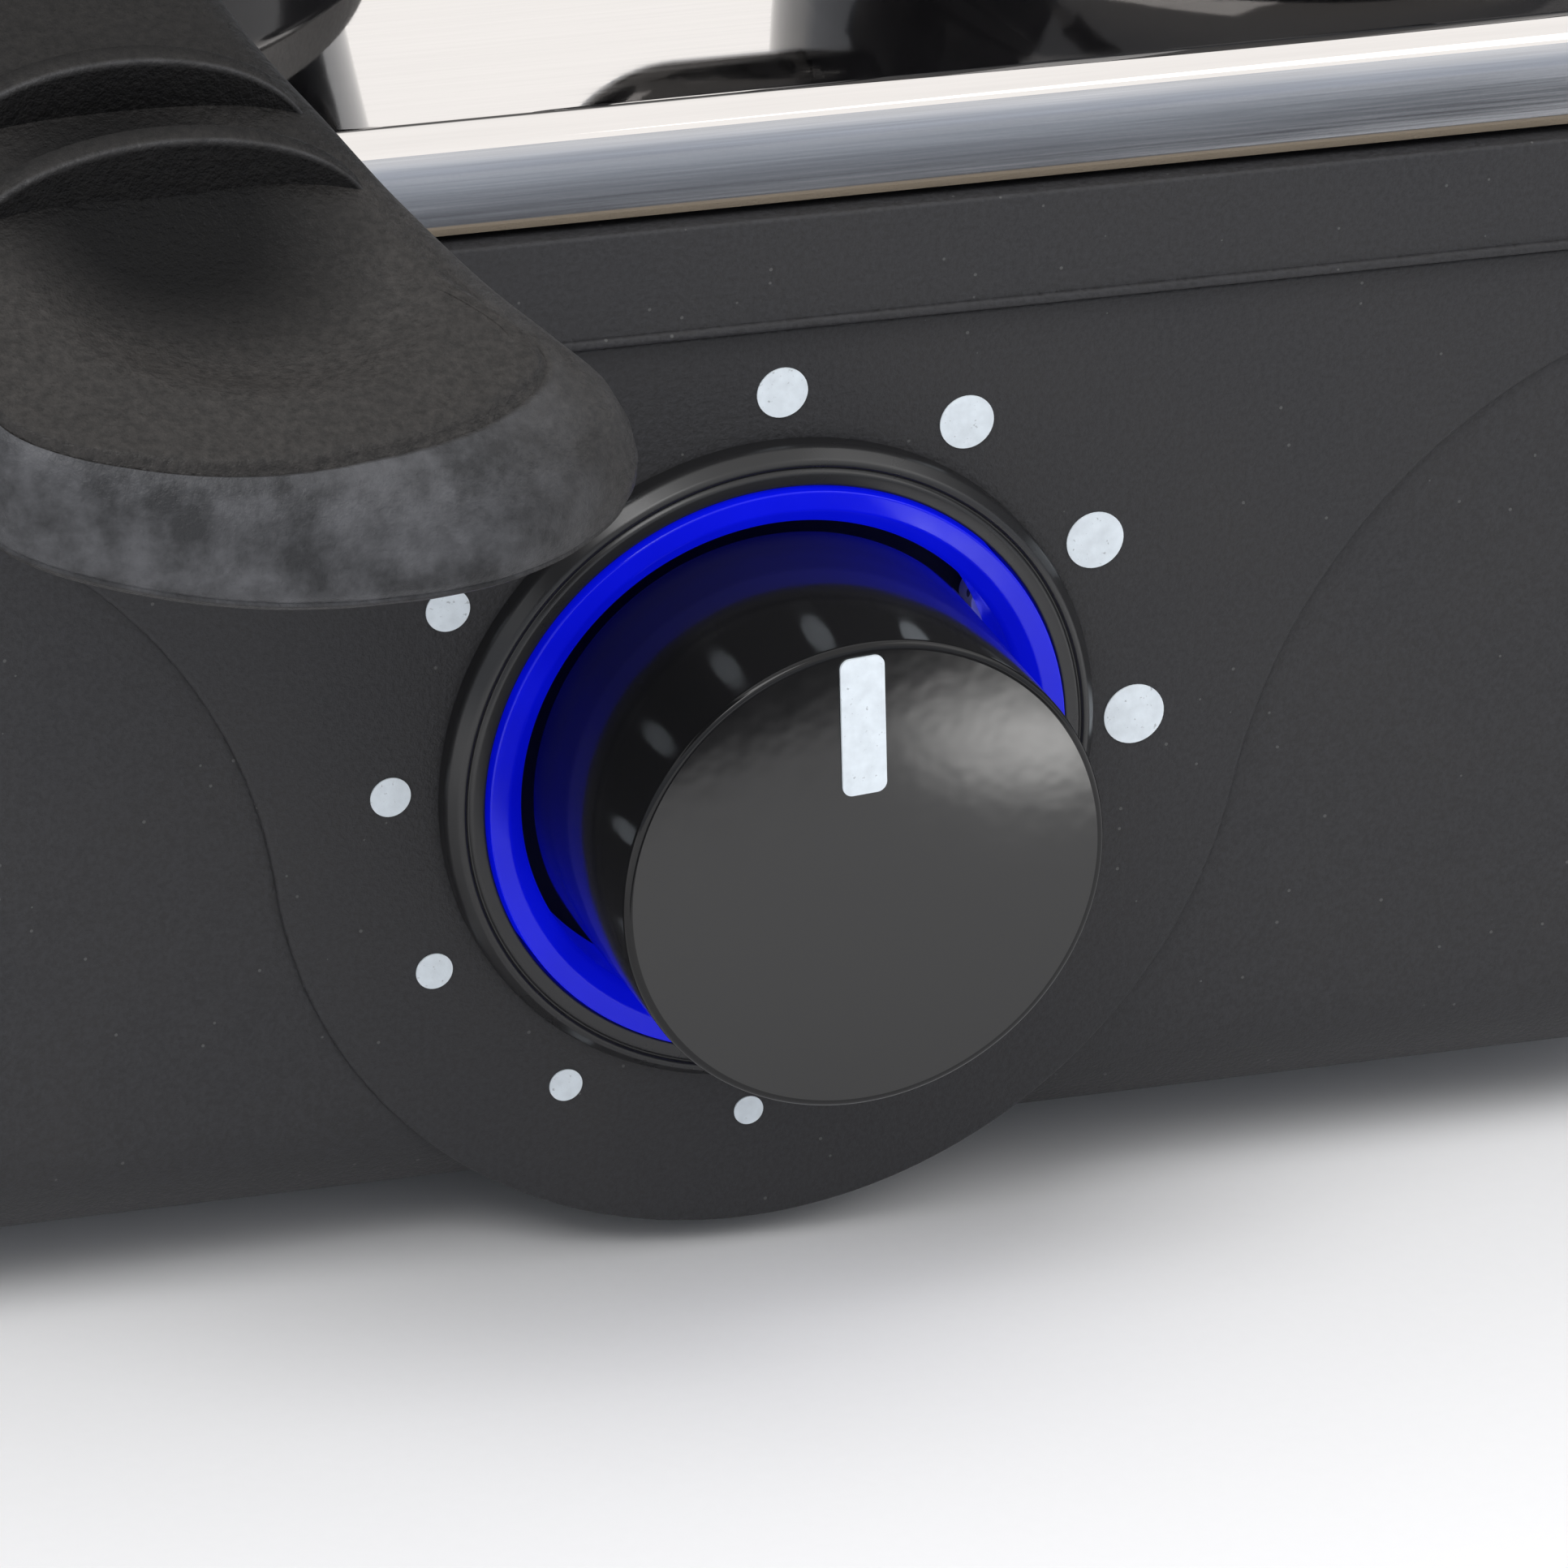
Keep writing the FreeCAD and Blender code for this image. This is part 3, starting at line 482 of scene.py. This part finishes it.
def make_deck():
    """Sheet-steel deck: mirror top, rolled edge, crowned brushed flange and a thin sheared lip."""
    low, high, _ = box_span("deck_tray")
    half = high.x
    roll, sheet, lip = 3.2 * MM, 0.6 * MM, 0.28 * MM
    corner, crown = 22.0 * MM, 0.31 * MM
    reach = roll + 10 * MM
    turn = math.radians(79)
    polished_rows = 8
    front_steel, side_steel, cut_steel = 1, 2, 3  # material slots
    profile = [(reach, 0.0)]
    for step in range(13):
        angle = turn * step / 12
        profile.append((crown + roll * (math.sin(turn) - math.sin(angle)), -roll * (1 - math.cos(angle))))
    foot = low.z - high.z
    start = profile[-1][1]
    for step in range(1, 9):
        part = step / 8
        profile.append((crown * (1 - part) ** 2, start + (foot + 0.9 * MM - start) * part))
    lip_outline = [(0.0, foot + 0.52 * MM), (-lip, foot + 0.45 * MM), (-lip, foot), (0.35 * MM, foot)]
    cut_rows = range(len(profile), len(profile) + len(lip_outline))
    profile += lip_outline
    profile += [(sheet, foot + 0.7 * MM), (sheet, -roll)]
    for step in range(1, 6):
        angle = math.radians(18 * step)
        profile.append((sheet + (roll - sheet) * (1 - math.sin(angle)),
                        -sheet - (roll - sheet) * (1 - math.cos(angle))))
    profile.append((reach, -sheet))
    build = bmesh.new()
    rings = []
    for across, along in profile:
        inset = across + lip
        radius = max(corner - inset, 1 * MM)
        ring = rectangle_ring(half - inset, low.y + inset, high.y - inset, radius, high.z + along)
        rings.append([build.verts.new(point) for point in ring])
    count = len(rings[0])
    for row, (first, second) in enumerate(zip(rings, rings[1:])):
        for step in range(count):
            after = (step + 1) % count
            quad = build.faces.new((first[step], first[after], second[after], second[step]))
            middle = quad.calc_center_median()
            towards_x = abs(middle.x) - (half - corner)
            towards_y = max(low.y + corner - middle.y, middle.y - high.y + corner)
            if row in cut_rows:
                quad.material_index = cut_steel
            elif row > polished_rows:
                quad.material_index = front_steel if towards_y > towards_x else side_steel
    build.faces.new(rings[0])
    build.faces.new(rings[-1])
    settle("deck_sheet", build, (MIRROR, BRUSHED_X, BRUSHED_Y, CUT_EDGE), "base", "deck_tray")


# ---- control panel
def inset_loop(points, inset):
    """Moves a closed plan outline inward."""
    moved = []
    count = len(points)
    for index, point in enumerate(points):
        along = (points[(index + 1) % count] - points[index - 1]).normalized()
        moved.append(point + Vector((-along.y, along.x)) * inset)
    return moved


def bib_outline(half, top):
    """Face outline of the raised panel: hanging disc flaring out to both sides."""
    radius, flare, lean = 35 * MM, 40 * MM, math.radians(10)
    points = []
    for step in range(97):
        angle = math.pi + lean + (math.pi - 2 * lean) * step / 96
        points.append(Vector((radius * math.cos(angle), radius * math.sin(angle))))
    middle = Vector((math.cos(lean), -math.sin(lean))) * (radius + flare)
    rise = math.acos((middle.x - half) / flare)
    right = []
    for step in range(1, 49):
        angle = math.pi - lean - (rise - lean) * step / 48
        right.append(middle + Vector((math.cos(angle), math.sin(angle))) * flare)
    points += right
    points += [Vector((half, top)), Vector((-half, top))]
    points += [Vector((-point.x, point.y)) for point in reversed(right)]
    return points


def slab(build, outline, front, back, edge, hole=None):
    """Upright plate with a rounded front edge, seen along Y."""
    steps = 5
    loops = []
    layers = [(0.0, back)]
    for step in range(steps + 1):
        angle = math.pi / 2 * step / steps
        layers.append((edge * (1 - math.cos(angle)), front + edge * (1 - math.sin(angle))))
    for inset, y in layers:
        loop = inset_loop(outline, inset)
        loops.append([build.verts.new(Vector((DIAL.x + q.x, y, DIAL.z + q.y))) for q in loop])
    count = len(outline)
    for first, second in zip(loops, loops[1:]):
        for step in range(count):
            after = (step + 1) % count
            build.faces.new((first[step], first[after], second[after], second[step]))
    rim = [build.edges.get((loops[-1][step], loops[-1][(step + 1) % count])) for step in range(count)]
    if hole:
        sides = 128
        ring = []
        for step in range(sides):
            angle = 2 * math.pi * step / sides
            place = Vector((DIAL.x + hole * math.cos(angle), front, DIAL.z + hole * math.sin(angle)))
            ring.append(build.verts.new(place))
        deep = [build.verts.new(vert.co + Vector((0, back - front, 0))) for vert in ring]
        for step in range(sides):
            after = (step + 1) % sides
            build.faces.new((ring[step], ring[after], deep[after], deep[step]))
        rim += [build.edges.get((ring[step], ring[(step + 1) % sides])) for step in range(sides)]
    bmesh.ops.triangle_fill(build, use_beauty=True, edges=rim)


def make_panel():
    """Round bib with the dial's hole, and the main panel that rolls back at its foot."""
    low, high, _ = box_span("fascia")
    half = high.x
    build = bmesh.new()
    slab(build, bib_outline(half, high.z - DIAL.z), PANEL_Y, PANEL_Y + 4 * MM, 0.35 * MM, 22.6 * MM)
    settle("bib_panel", build, (SHELL,), "base", "fascia")

    main = PANEL_Y + 0.5 * MM
    wall = 2.4 * MM
    foot = low.z + wall
    roll = 9.0 * MM
    splits = 20
    profile = [(main, high.z)]
    profile += [(main, foot + roll + (high.z - foot - roll) * (1 - part / splits))
                for part in range(1, splits)]
    for step in range(13):
        angle = math.radians(7.5 * step)
        profile.append((main + roll * (1 - math.cos(angle)), foot + roll * (1 - math.sin(angle))))
    profile += [(high.y, foot), (high.y, foot + wall), (main + roll, foot + wall),
                (main + wall, foot + roll), (main + wall, high.z)]
    build = bmesh.new()
    edge = [half / 2 + 5 * MM, half - 0.2 * MM, half]
    near_dial = [3 * MM * step for step in range(-12, 13)]
    across = [-x for x in reversed(edge)] + near_dial + edge
    skin(build, [[Vector((DIAL.x + x, y, z)) for y, z in profile] for x in across])
    opening = 27 * MM
    behind_dial = [face for face in build.faces
                   if (face.calc_center_median() - DIAL).length < opening and len(face.verts) == 4]
    bmesh.ops.delete(build, geom=behind_dial, context="FACES")
    settle("main_panel", build, (SHELL,), "base")


# ---- pan handle
# Plan of the grip: distance back from the tip and half width, in millimetres.
HANDLE = [(59, 9.8), (50, 11.2), (41.5, 12.9), (33.5, 15.2), (26.5, 16.8), (19.5, 18.8), (13.5, 20.8),
          (8.8, 21.7), (5.5, 19.4), (2.5, 14.0), (0.8, 8.6), (0.1, 3.6), (0.0, 0.0)]
# Section of its blunt end, from the top down: share drawn in, inset and height, in millimetres.
FRONT_PROFILE = [(1.0, 0, 4.7), (0.82, 0, 4.7), (0.66, 0, 4.7), (0.5, 0, 4.7), (0.38, 0, 4.7),
                 (0, 5.4, 4.75), (0, 4.6, 4.7), (0, 4.3, 4.5), (0, 4.15, 4.15), (0, 3.95, 3.92),
                 (0, 3.55, 4.0), (0, 2.4, 3.5), (0, 1.1, 2.3), (0, 0.35, 0.6), (0, 0.0, -1.2),
                 (0, 0.05, -2.5), (0, 0.35, -3.15), (0, 0.55, -3.35), (0, 0.45, -3.6), (0, 0.9, -4.1),
                 (0, 2.2, -4.45), (0, 5.0, -4.55), (0.6, 0, -4.55), (1.0, 0, -4.55)]
# Fins: places and half widths, the section of one with its trimmed edges, and how much painted highlight
# and painted shade each row of that section carries.
FINS = ((33.5, 13.6), (26.5, 14.6))
FIN_SECTION = [(-0.80, 0.45), (-0.76, 0.22), (-0.66, 0.07), (-0.45, 0.0), (0.45, 0.0), (0.66, 0.07),
               (0.76, 0.22), (0.80, 0.45)]
FIN_LIGHT = (0.0, 0.25, 0.5, 0.0, 0.0, 0.0, 0.0, 0.0)
FIN_DARK = (0.85, 0.5, 0.0, 0.45, 0.75, 0.75, 0.75, 0.75)


def curve_through(points, pieces):
    """Catmull-Rom curve through points of any size."""
    result = []
    for index in range(len(points) - 1):
        a = points[max(index - 1, 0)]
        b, c = points[index], points[index + 1]
        d = points[min(index + 2, len(points) - 1)]
        for step in range(pieces):
            t = step / pieces
            result.append(tuple(0.5 * (2 * q + (r - p) * t + (2 * p - 5 * q + 4 * r - w) * t * t
                                       + (3 * q - p - 3 * r + w) * t * t * t)
                                for p, q, r, w in zip(a, b, c, d)))
    result.append(tuple(points[-1]))
    return result


def make_handle():
    """Pan grip: neck, thumb dish, creased blunt end and two finger fins."""
    low, _, middle = box_span("pan_handle")
    tip = low.y

    def spot(back, across, rise):
        """Point of the handle from its distance back from the tip, all in millimetres."""
        turn = back - 8.5
        x = middle.x + (across - 0.338 * turn + 0.00435 * turn * turn) * MM
        return Vector((x, tip + back * MM, low.z + (4.5 + 0.404 * (back - 4) + rise) * MM))

    side = curve_through(HANDLE, 10)
    outline = side[:-1] + [(back, -half) for back, half in reversed(side)]
    levels = []
    for first, second in zip(FRONT_PROFILE, FRONT_PROFILE[1:]):
        levels += [tuple(a + (b - a) * part for a, b in zip(first, second)) for part in (0.0, 0.5)]
    levels.append(FRONT_PROFILE[-1])
    rings = []
    painted_sheen, dished = [], []
    crease, widest, lip, underside = 18, 28, 32, 36  # rows of the section, counted from the top
    nose = 17.0  # middle of the rounded end, back from the tip
    neck_start, neck_blend = 11.0, 15.0
    dish_back, dish_long, dish_wide, dish_deep = 17.5, 9.8, 14.0, 2.0
    for number, (shrink, inset, rise) in enumerate(levels):
        if number <= crease:
            phase = math.radians(90 - 54 * number / crease)
        elif number <= widest:
            phase = math.radians(36 - 42 * (number - crease) / (widest - crease))
        else:
            phase = math.radians(-6 - 84 * (number - widest) / (len(levels) - 1 - widest))
        neck_reach = abs(math.cos(phase)) ** 0.8
        neck_rise = 4.9 * math.copysign(abs(math.sin(phase)) ** 0.8, math.sin(phase))
        ring, sheen_row, dished_row = [], [], []
        for back, across in outline:
            heart_back = max(back, nose)
            reach = math.hypot(back - heart_back, across)
            lopsided = inset * (0.85 + 0.024 * across) if number < lip else inset
            front_reach = (1 - shrink) * (1 - lopsided / max(reach, 6.0))
            neck = min(max((back - neck_start) / neck_blend, 0.0), 1.0)
            neck = neck * neck * (3 - 2 * neck)
            scale = front_reach + (neck_reach - front_reach) * neck
            height = rise + (neck_rise - rise) * neck
            place = heart_back + (back - heart_back) * scale
            bowl = 1 - ((place - dish_back) / dish_long) ** 2 - (across * scale / dish_wide) ** 2
            if number < crease and bowl > 0:
                height -= dish_deep * bowl * bowl * (3 - 2 * bowl)
            ring.append(spot(place, across * scale, height))
            # Painted sheen mask: lighter on the front of the skirt below the crease, less towards the
            # sides and much less on the underside, as if lit from the front.
            shaded = min(max((across * scale - 7.0) / 11.0, 0.0), 1.0)
            below_crease = min(max((number - crease) / 2, 0), 1)
            lit_share = 1 if number < underside else 0.3
            sheen_row.append((1 - neck) * below_crease * (1 - 0.85 * shaded) * lit_share)
            # Painted shade mask: darkest in the thumb dish and behind the fins, where their shadow falls.
            deep = 1 - ((place - 25.0) / 12.5) ** 2 - ((across * scale + 1.0) / 14.5) ** 2
            neck_dark = 0.55 * min(max((back - 26.0) / 4.0, 0.0), 1.0)
            dished_row.append(max(min(1.2 * deep, 1.0), neck_dark) if number < crease else neck_dark)
        rings.append(ring)
        painted_sheen.append(sheen_row)
        dished.append(dished_row)
    build = bmesh.new()
    # These layers carry the painted sheen (skirt) and painted shade (bowl) masks to the grip material.
    skirt_layer = build.verts.layers.float.new("skirt")
    bowl_layer = build.verts.layers.float.new("bowl")
    placed = skin(build, rings, capped=False, closed=False)
    for ring, sheen_row, dished_row in zip(placed, painted_sheen, dished):
        for vert, share, dark in zip(ring, sheen_row, dished_row):
            vert[skirt_layer] = share
            vert[bowl_layer] = dark
    build.faces.new([ring[0] for ring in placed] + [ring[-1] for ring in reversed(placed)])
    bmesh.ops.remove_doubles(build, verts=build.verts, dist=0.00002)
    for back, half in FINS:
        fin = []
        for depth, trim in FIN_SECTION:
            arc = []
            edge = half - 0.6 * trim
            for step in range(65):
                angle = math.pi * step / 64
                arc.append(spot(back + depth, edge * math.cos(angle),
                                (8.3 - trim) * abs(math.sin(angle)) ** 0.92))
            arc += [spot(back + depth, edge * (-1 + 2 * step / 16), -1.0) for step in range(1, 16)]
            fin.append(arc)
        # Fin rows get a painted highlight along the front of their rounded top edge and painted shade on
        # their faces.
        for ring, light, dark in zip(skin(build, fin), FIN_LIGHT, FIN_DARK):
            for vert in ring:
                vert[skirt_layer] = light
                vert[bowl_layer] = dark
    settle("grip", build, (GRIP,), "pan", "pan_handle")


# ---- vessels and plates
def make_vessels():
    """Pan, pot and the drums round both burners."""
    low, high, middle = box_span("pan_body")
    rim = (high.x - low.x) / 2 / MM
    depth = (high.z - low.z) / MM
    outline = rounded_profile([
        (AXIS_GAP, 0, 0), (rim - 6, 0, 2.0), (rim, depth, 0.9), (rim - 2.6, depth, 0.9),
        (rim - 8.4, 3.0, 3.0), (AXIS_GAP, 3.0, 0)])
    build = bmesh.new()
    lathe(build, millimetres(outline), Vector((middle.x, middle.y, low.z)), UP, 224)
    settle("pan_shell", build, (ENAMEL,), "pan", "pan_body")

    low, high, middle = box_span("pot_body")
    rim = (high.x - low.x) / 2 / MM
    depth = (high.z - low.z) / MM
    outline = rounded_profile([
        (AXIS_GAP, 0, 0), (rim - 5, 0, 2.5), (rim - 2.0, 7, 4.0), (rim - 1, 14, 4.0),
        (rim - 1, depth - 2.2, 0.4), (rim, depth - 1.6, 0.4), (rim, depth - 0.1, 0.4),
        (rim - 3.2, depth, 0.6), (rim - 3.2, 14, 3.0), (rim - 6, 2.6, 3.0), (AXIS_GAP, 2.6, 0)])
    build = bmesh.new()
    lathe(build, millimetres(outline), Vector((middle.x, middle.y, low.z)), UP, 224)
    settle("pot_shell", build, (ENAMEL,), "pot", "pot_body")

    for size in ("large", "small"):
        low, high, middle = box_span(f"burner_drum_{size}")
        radius = (high.x - low.x) / 2 / MM
        outline = rounded_profile([
            (radius - 2, 0, 0), (radius, 0, 0.3), (radius, 9, 1.6), (radius - 8, 9, 0.4),
            (radius - 8, 7.6, 0), (radius - 2, 7.6, 0.6)])
        build = bmesh.new()
        lathe(build, millimetres(outline), Vector((middle.x, middle.y, low.z)), UP, 192)
        settle(f"drum_{size}", build, (ENAMEL,), "base", f"burner_drum_{size}")


def make_band():
    """Dark band under the deck, with a small bead along its foot."""
    low, high, _ = box_span("upper_band")
    half = high.x
    corner = 6.0 * MM
    foot, top = low.z - DIAL.z, high.z - DIAL.z
    outline = [Vector((-half, foot)), Vector((0, foot)), Vector((half, foot))]
    for step in range(13):
        angle = math.radians(7.5 * step)
        outline.append(Vector((half - corner + corner * math.cos(angle),
                               top - corner + corner * math.sin(angle))))
    outline += [Vector((-point.x, point.y)) for point in reversed(outline[3:])]
    build = bmesh.new()
    slab(build, outline, low.y, high.y, 0.3 * MM)
    build.faces.new([vert for vert in build.verts if abs(vert.co.y - high.y) < 1e-6][:len(outline)])
    bead = []
    for side in (-1, 1):
        ring = []
        for turn in range(-90, 271, 15):
            angle = math.radians(turn)
            ring.append(Vector((side * (half - 0.5 * MM), low.y - 0.34 * MM * math.cos(angle),
                                low.z + (0.38 + 0.36 * math.sin(angle)) * MM)))
        bead.append(ring)
    skin(build, bead)
    settle("band", build, (SHELL,), "base", "upper_band")


make_dial()
make_deck()
make_panel()
make_band()
make_handle()
make_vessels()


# ---- floor, light and camera --------------------------------------------------------------------------
def make_floor():
    """Plain pale table under the object."""
    paint = Paint("pale_table", (0.80, 0.80, 0.81), 0.75)
    paint.colour(paint.mix(paint.noise(900.0, 3.0), (0.79, 0.79, 0.80), (0.81, 0.81, 0.82)))
    mesh = bpy.data.meshes.new("table_top")
    reach = 40.0
    mesh.from_pydata([(-reach, -reach, 0), (reach, -reach, 0), (reach, reach, 0), (-reach, reach, 0)], [],
                     [(0, 1, 2, 3)])
    mesh.materials.append(paint.material)
    floor = bpy.data.objects.new("table_top", mesh)
    bpy.context.collection.objects.link(floor)


def reflected_only(name, mesh, place):
    """Puts a mesh in the scene that only reflections see."""
    piece = bpy.data.objects.new(name, mesh)
    piece.location = place
    piece.visible_camera = False
    piece.visible_shadow = False
    piece.visible_diffuse = False
    bpy.context.collection.objects.link(piece)


def dark_card(corners):
    """Dark card lying on the table in front, fading lighter away from the object."""
    paint = Paint("card_black", (0.012, 0.012, 0.013), 0.9, Specular_IOR_Level=0.0)
    split = paint.feed(paint.node("ShaderNodeSeparateXYZ"), Vector=paint.place)
    away = paint.maths("MULTIPLY", split.outputs[1], -1.0)
    fading = paint.ramp(away, [(0.14, (0.008, 0.008, 0.009)), (0.20, (0.05, 0.052, 0.058)),
                               (0.36, (0.17, 0.18, 0.20)), (0.99, (0.38, 0.41, 0.45))])
    aside = paint.maths("SUBTRACT", split.outputs[0], paint.maths("MULTIPLY", away, 0.385))
    right_end = paint.ramp(paint.maths("ADD", aside, 0.021), [(0.036, 0.0), (0.056, 0.8)])
    paint.colour(paint.mix(right_end, fading, (0.02, 0.021, 0.023)))
    mesh = bpy.data.meshes.new("dark_card")
    level = 0.5 * MM
    mesh.from_pydata([(*corner, level) for corner in corners], [], [(0, 1, 2, 3)])
    mesh.materials.append(paint.material)
    reflected_only("dark_card", mesh, (0, 0, 0))


def bright_patch(spot, radius):
    """Soft pool of light on the table, which gives the highlight on the knob's face."""
    paint = Paint("light_pool", (0.8, 0.8, 0.8), 0.9)
    length = paint.feed(paint.node("ShaderNodeVectorMath", operation="LENGTH"), _0=paint.place)
    share = paint.maths("DIVIDE", length.outputs["Value"], radius)
    glow = paint.ramp(share, [(0.0, 1.0), (0.45, 0.55), (1.0, 0.0)])
    tree = paint.tree
    light = paint.feed(paint.node("ShaderNodeEmission"), Color=(1.0, 0.99, 0.97, 1.0), Strength=9.0)
    clear = paint.node("ShaderNodeBsdfTransparent")
    blend = paint.node("ShaderNodeMixShader")
    tree.links.new(glow, blend.inputs[0])
    tree.links.new(clear.outputs[0], blend.inputs[1])
    tree.links.new(light.outputs[0], blend.inputs[2])
    tree.links.new(blend.outputs[0], tree.nodes["Material Output"].inputs["Surface"])
    build = bmesh.new()
    bmesh.ops.create_circle(build, cap_ends=True, segments=64, radius=radius)
    mesh = bpy.data.meshes.new("light_pool")
    build.to_mesh(mesh)
    build.free()
    mesh.materials.append(paint.material)
    reflected_only("light_pool", mesh, (*spot, 0.8 * MM))


def make_sky():
    """Studio sky: greyer low down, bright overhead, and one dark strip high up behind on the right."""
    world = bpy.data.worlds.new("studio")
    bpy.context.scene.world = world
    world.use_nodes = True
    tree = world.node_tree
    spot = tree.nodes.new("ShaderNodeTexCoord")
    split = tree.nodes.new("ShaderNodeSeparateXYZ")
    tree.links.new(spot.outputs["Generated"], split.inputs[0])

    def sweep(source, stops):
        """Colour ramp fed by this value."""
        ramp = tree.nodes.new("ShaderNodeValToRGB")
        tree.links.new(source, ramp.inputs[0])
        points = ramp.color_ramp.elements
        while len(points) < len(stops):
            points.new(0.5)
        for point, (place, value) in zip(points, stops):
            point.position = place
            point.color = (*value, 1.0)
        return ramp.outputs["Color"]

    behind = sweep(split.outputs[2], [
        (0.0, (0.56, 0.64, 0.76)), (0.24, (0.84, 0.86, 0.89)), (0.37, (0.94, 0.93, 0.92)),
        (0.46, (0.94, 0.92, 0.91)), (0.50, (0.10, 0.10, 0.10)), (0.60, (0.10, 0.10, 0.10)),
        (0.66, (0.93, 0.92, 0.91)), (1.0, (0.93, 0.92, 0.91))])
    before = sweep(split.outputs[2], [
        (0.0, (0.46, 0.50, 0.57)), (0.12, (0.60, 0.63, 0.69)), (0.30, (0.62, 0.65, 0.70)),
        (0.42, (0.92, 0.93, 0.95)), (0.60, (1.0, 0.99, 0.98)), (1.0, (0.93, 0.92, 0.91))])
    facing = tree.nodes.new("ShaderNodeVectorMath")
    facing.operation = "DOT_PRODUCT"
    facing.inputs[1].default_value = (0.36, 0.93, 0.0)
    tree.links.new(spot.outputs["Generated"], facing.inputs[0])
    at_back = sweep(facing.outputs["Value"], [(0.60, (0.0, 0.0, 0.0)), (0.68, (1.0, 1.0, 1.0))])
    mixed = tree.nodes.new("ShaderNodeMix")
    mixed.data_type = "RGBA"
    tree.links.new(at_back, mixed.inputs["Factor"])
    tree.links.new(before, mixed.inputs[6])
    tree.links.new(behind, mixed.inputs[7])
    background = tree.nodes["Background"]
    tree.links.new(mixed.outputs[2], background.inputs["Color"])
    background.inputs["Strength"].default_value = 1.10


def soft_light(name, place, size, power, glossy_too=True):
    """Large square light on the object that the camera doesn't see."""
    aim = Vector((0, 0, 0.05))
    data = bpy.data.lights.new(name, "AREA")
    data.shape = "SQUARE"
    data.size = size
    data.energy = power
    lamp = bpy.data.objects.new(name, data)
    lamp.location = place
    lamp.rotation_euler = (aim - Vector(place)).to_track_quat("-Z", "Y").to_euler()
    lamp.visible_camera = False
    lamp.visible_glossy = glossy_too
    bpy.context.collection.objects.link(lamp)


def make_camera():
    """Long lens close on the dial, from the left and above."""
    azimuth = math.radians(-21.077)
    elevation = math.radians(24.894)
    roll = math.radians(2.745)
    distance = 1.0239
    right_of_centre = -1.2786 * MM
    below_centre = -1.9718 * MM
    back = Vector((math.sin(azimuth) * math.cos(elevation), -math.cos(azimuth) * math.cos(elevation),
                   math.sin(elevation)))
    level = Vector((0, 0, 1)).cross(back).normalized()
    rise = back.cross(level)
    right = level * math.cos(roll) + rise * math.sin(roll)
    up = rise * math.cos(roll) - level * math.sin(roll)
    spot = DIAL + back * distance - right * right_of_centre + up * below_centre
    data = bpy.data.cameras.new("camera")
    data.sensor_width = 36.0
    data.lens = 348.18
    data.clip_start = 0.05
    data.clip_end = 100.0
    camera = bpy.data.objects.new("camera", data)
    camera.matrix_world = Matrix((right, up, back)).transposed().to_4x4()
    camera.location = spot
    bpy.context.collection.objects.link(camera)
    bpy.context.scene.camera = camera


make_floor()
make_sky()
dark_card(((0.40, -1.8), (0.84, -1.8), (0.162, -0.240), (-0.03, -0.148)))
bright_patch((0.0485, -0.171), 0.0115)
soft_light("key", (-0.9, -0.9, 1.6), 1.2, 21.0)
soft_light("fill", (1.1, -0.5, 1.3), 1.0, 3.5)
soft_light("back", (-0.3, 1.5, 1.3), 1.2, 24.0, False)
make_camera()
bpy.context.scene.view_settings.view_transform = "Standard"

bpy.context.view_layer.update()
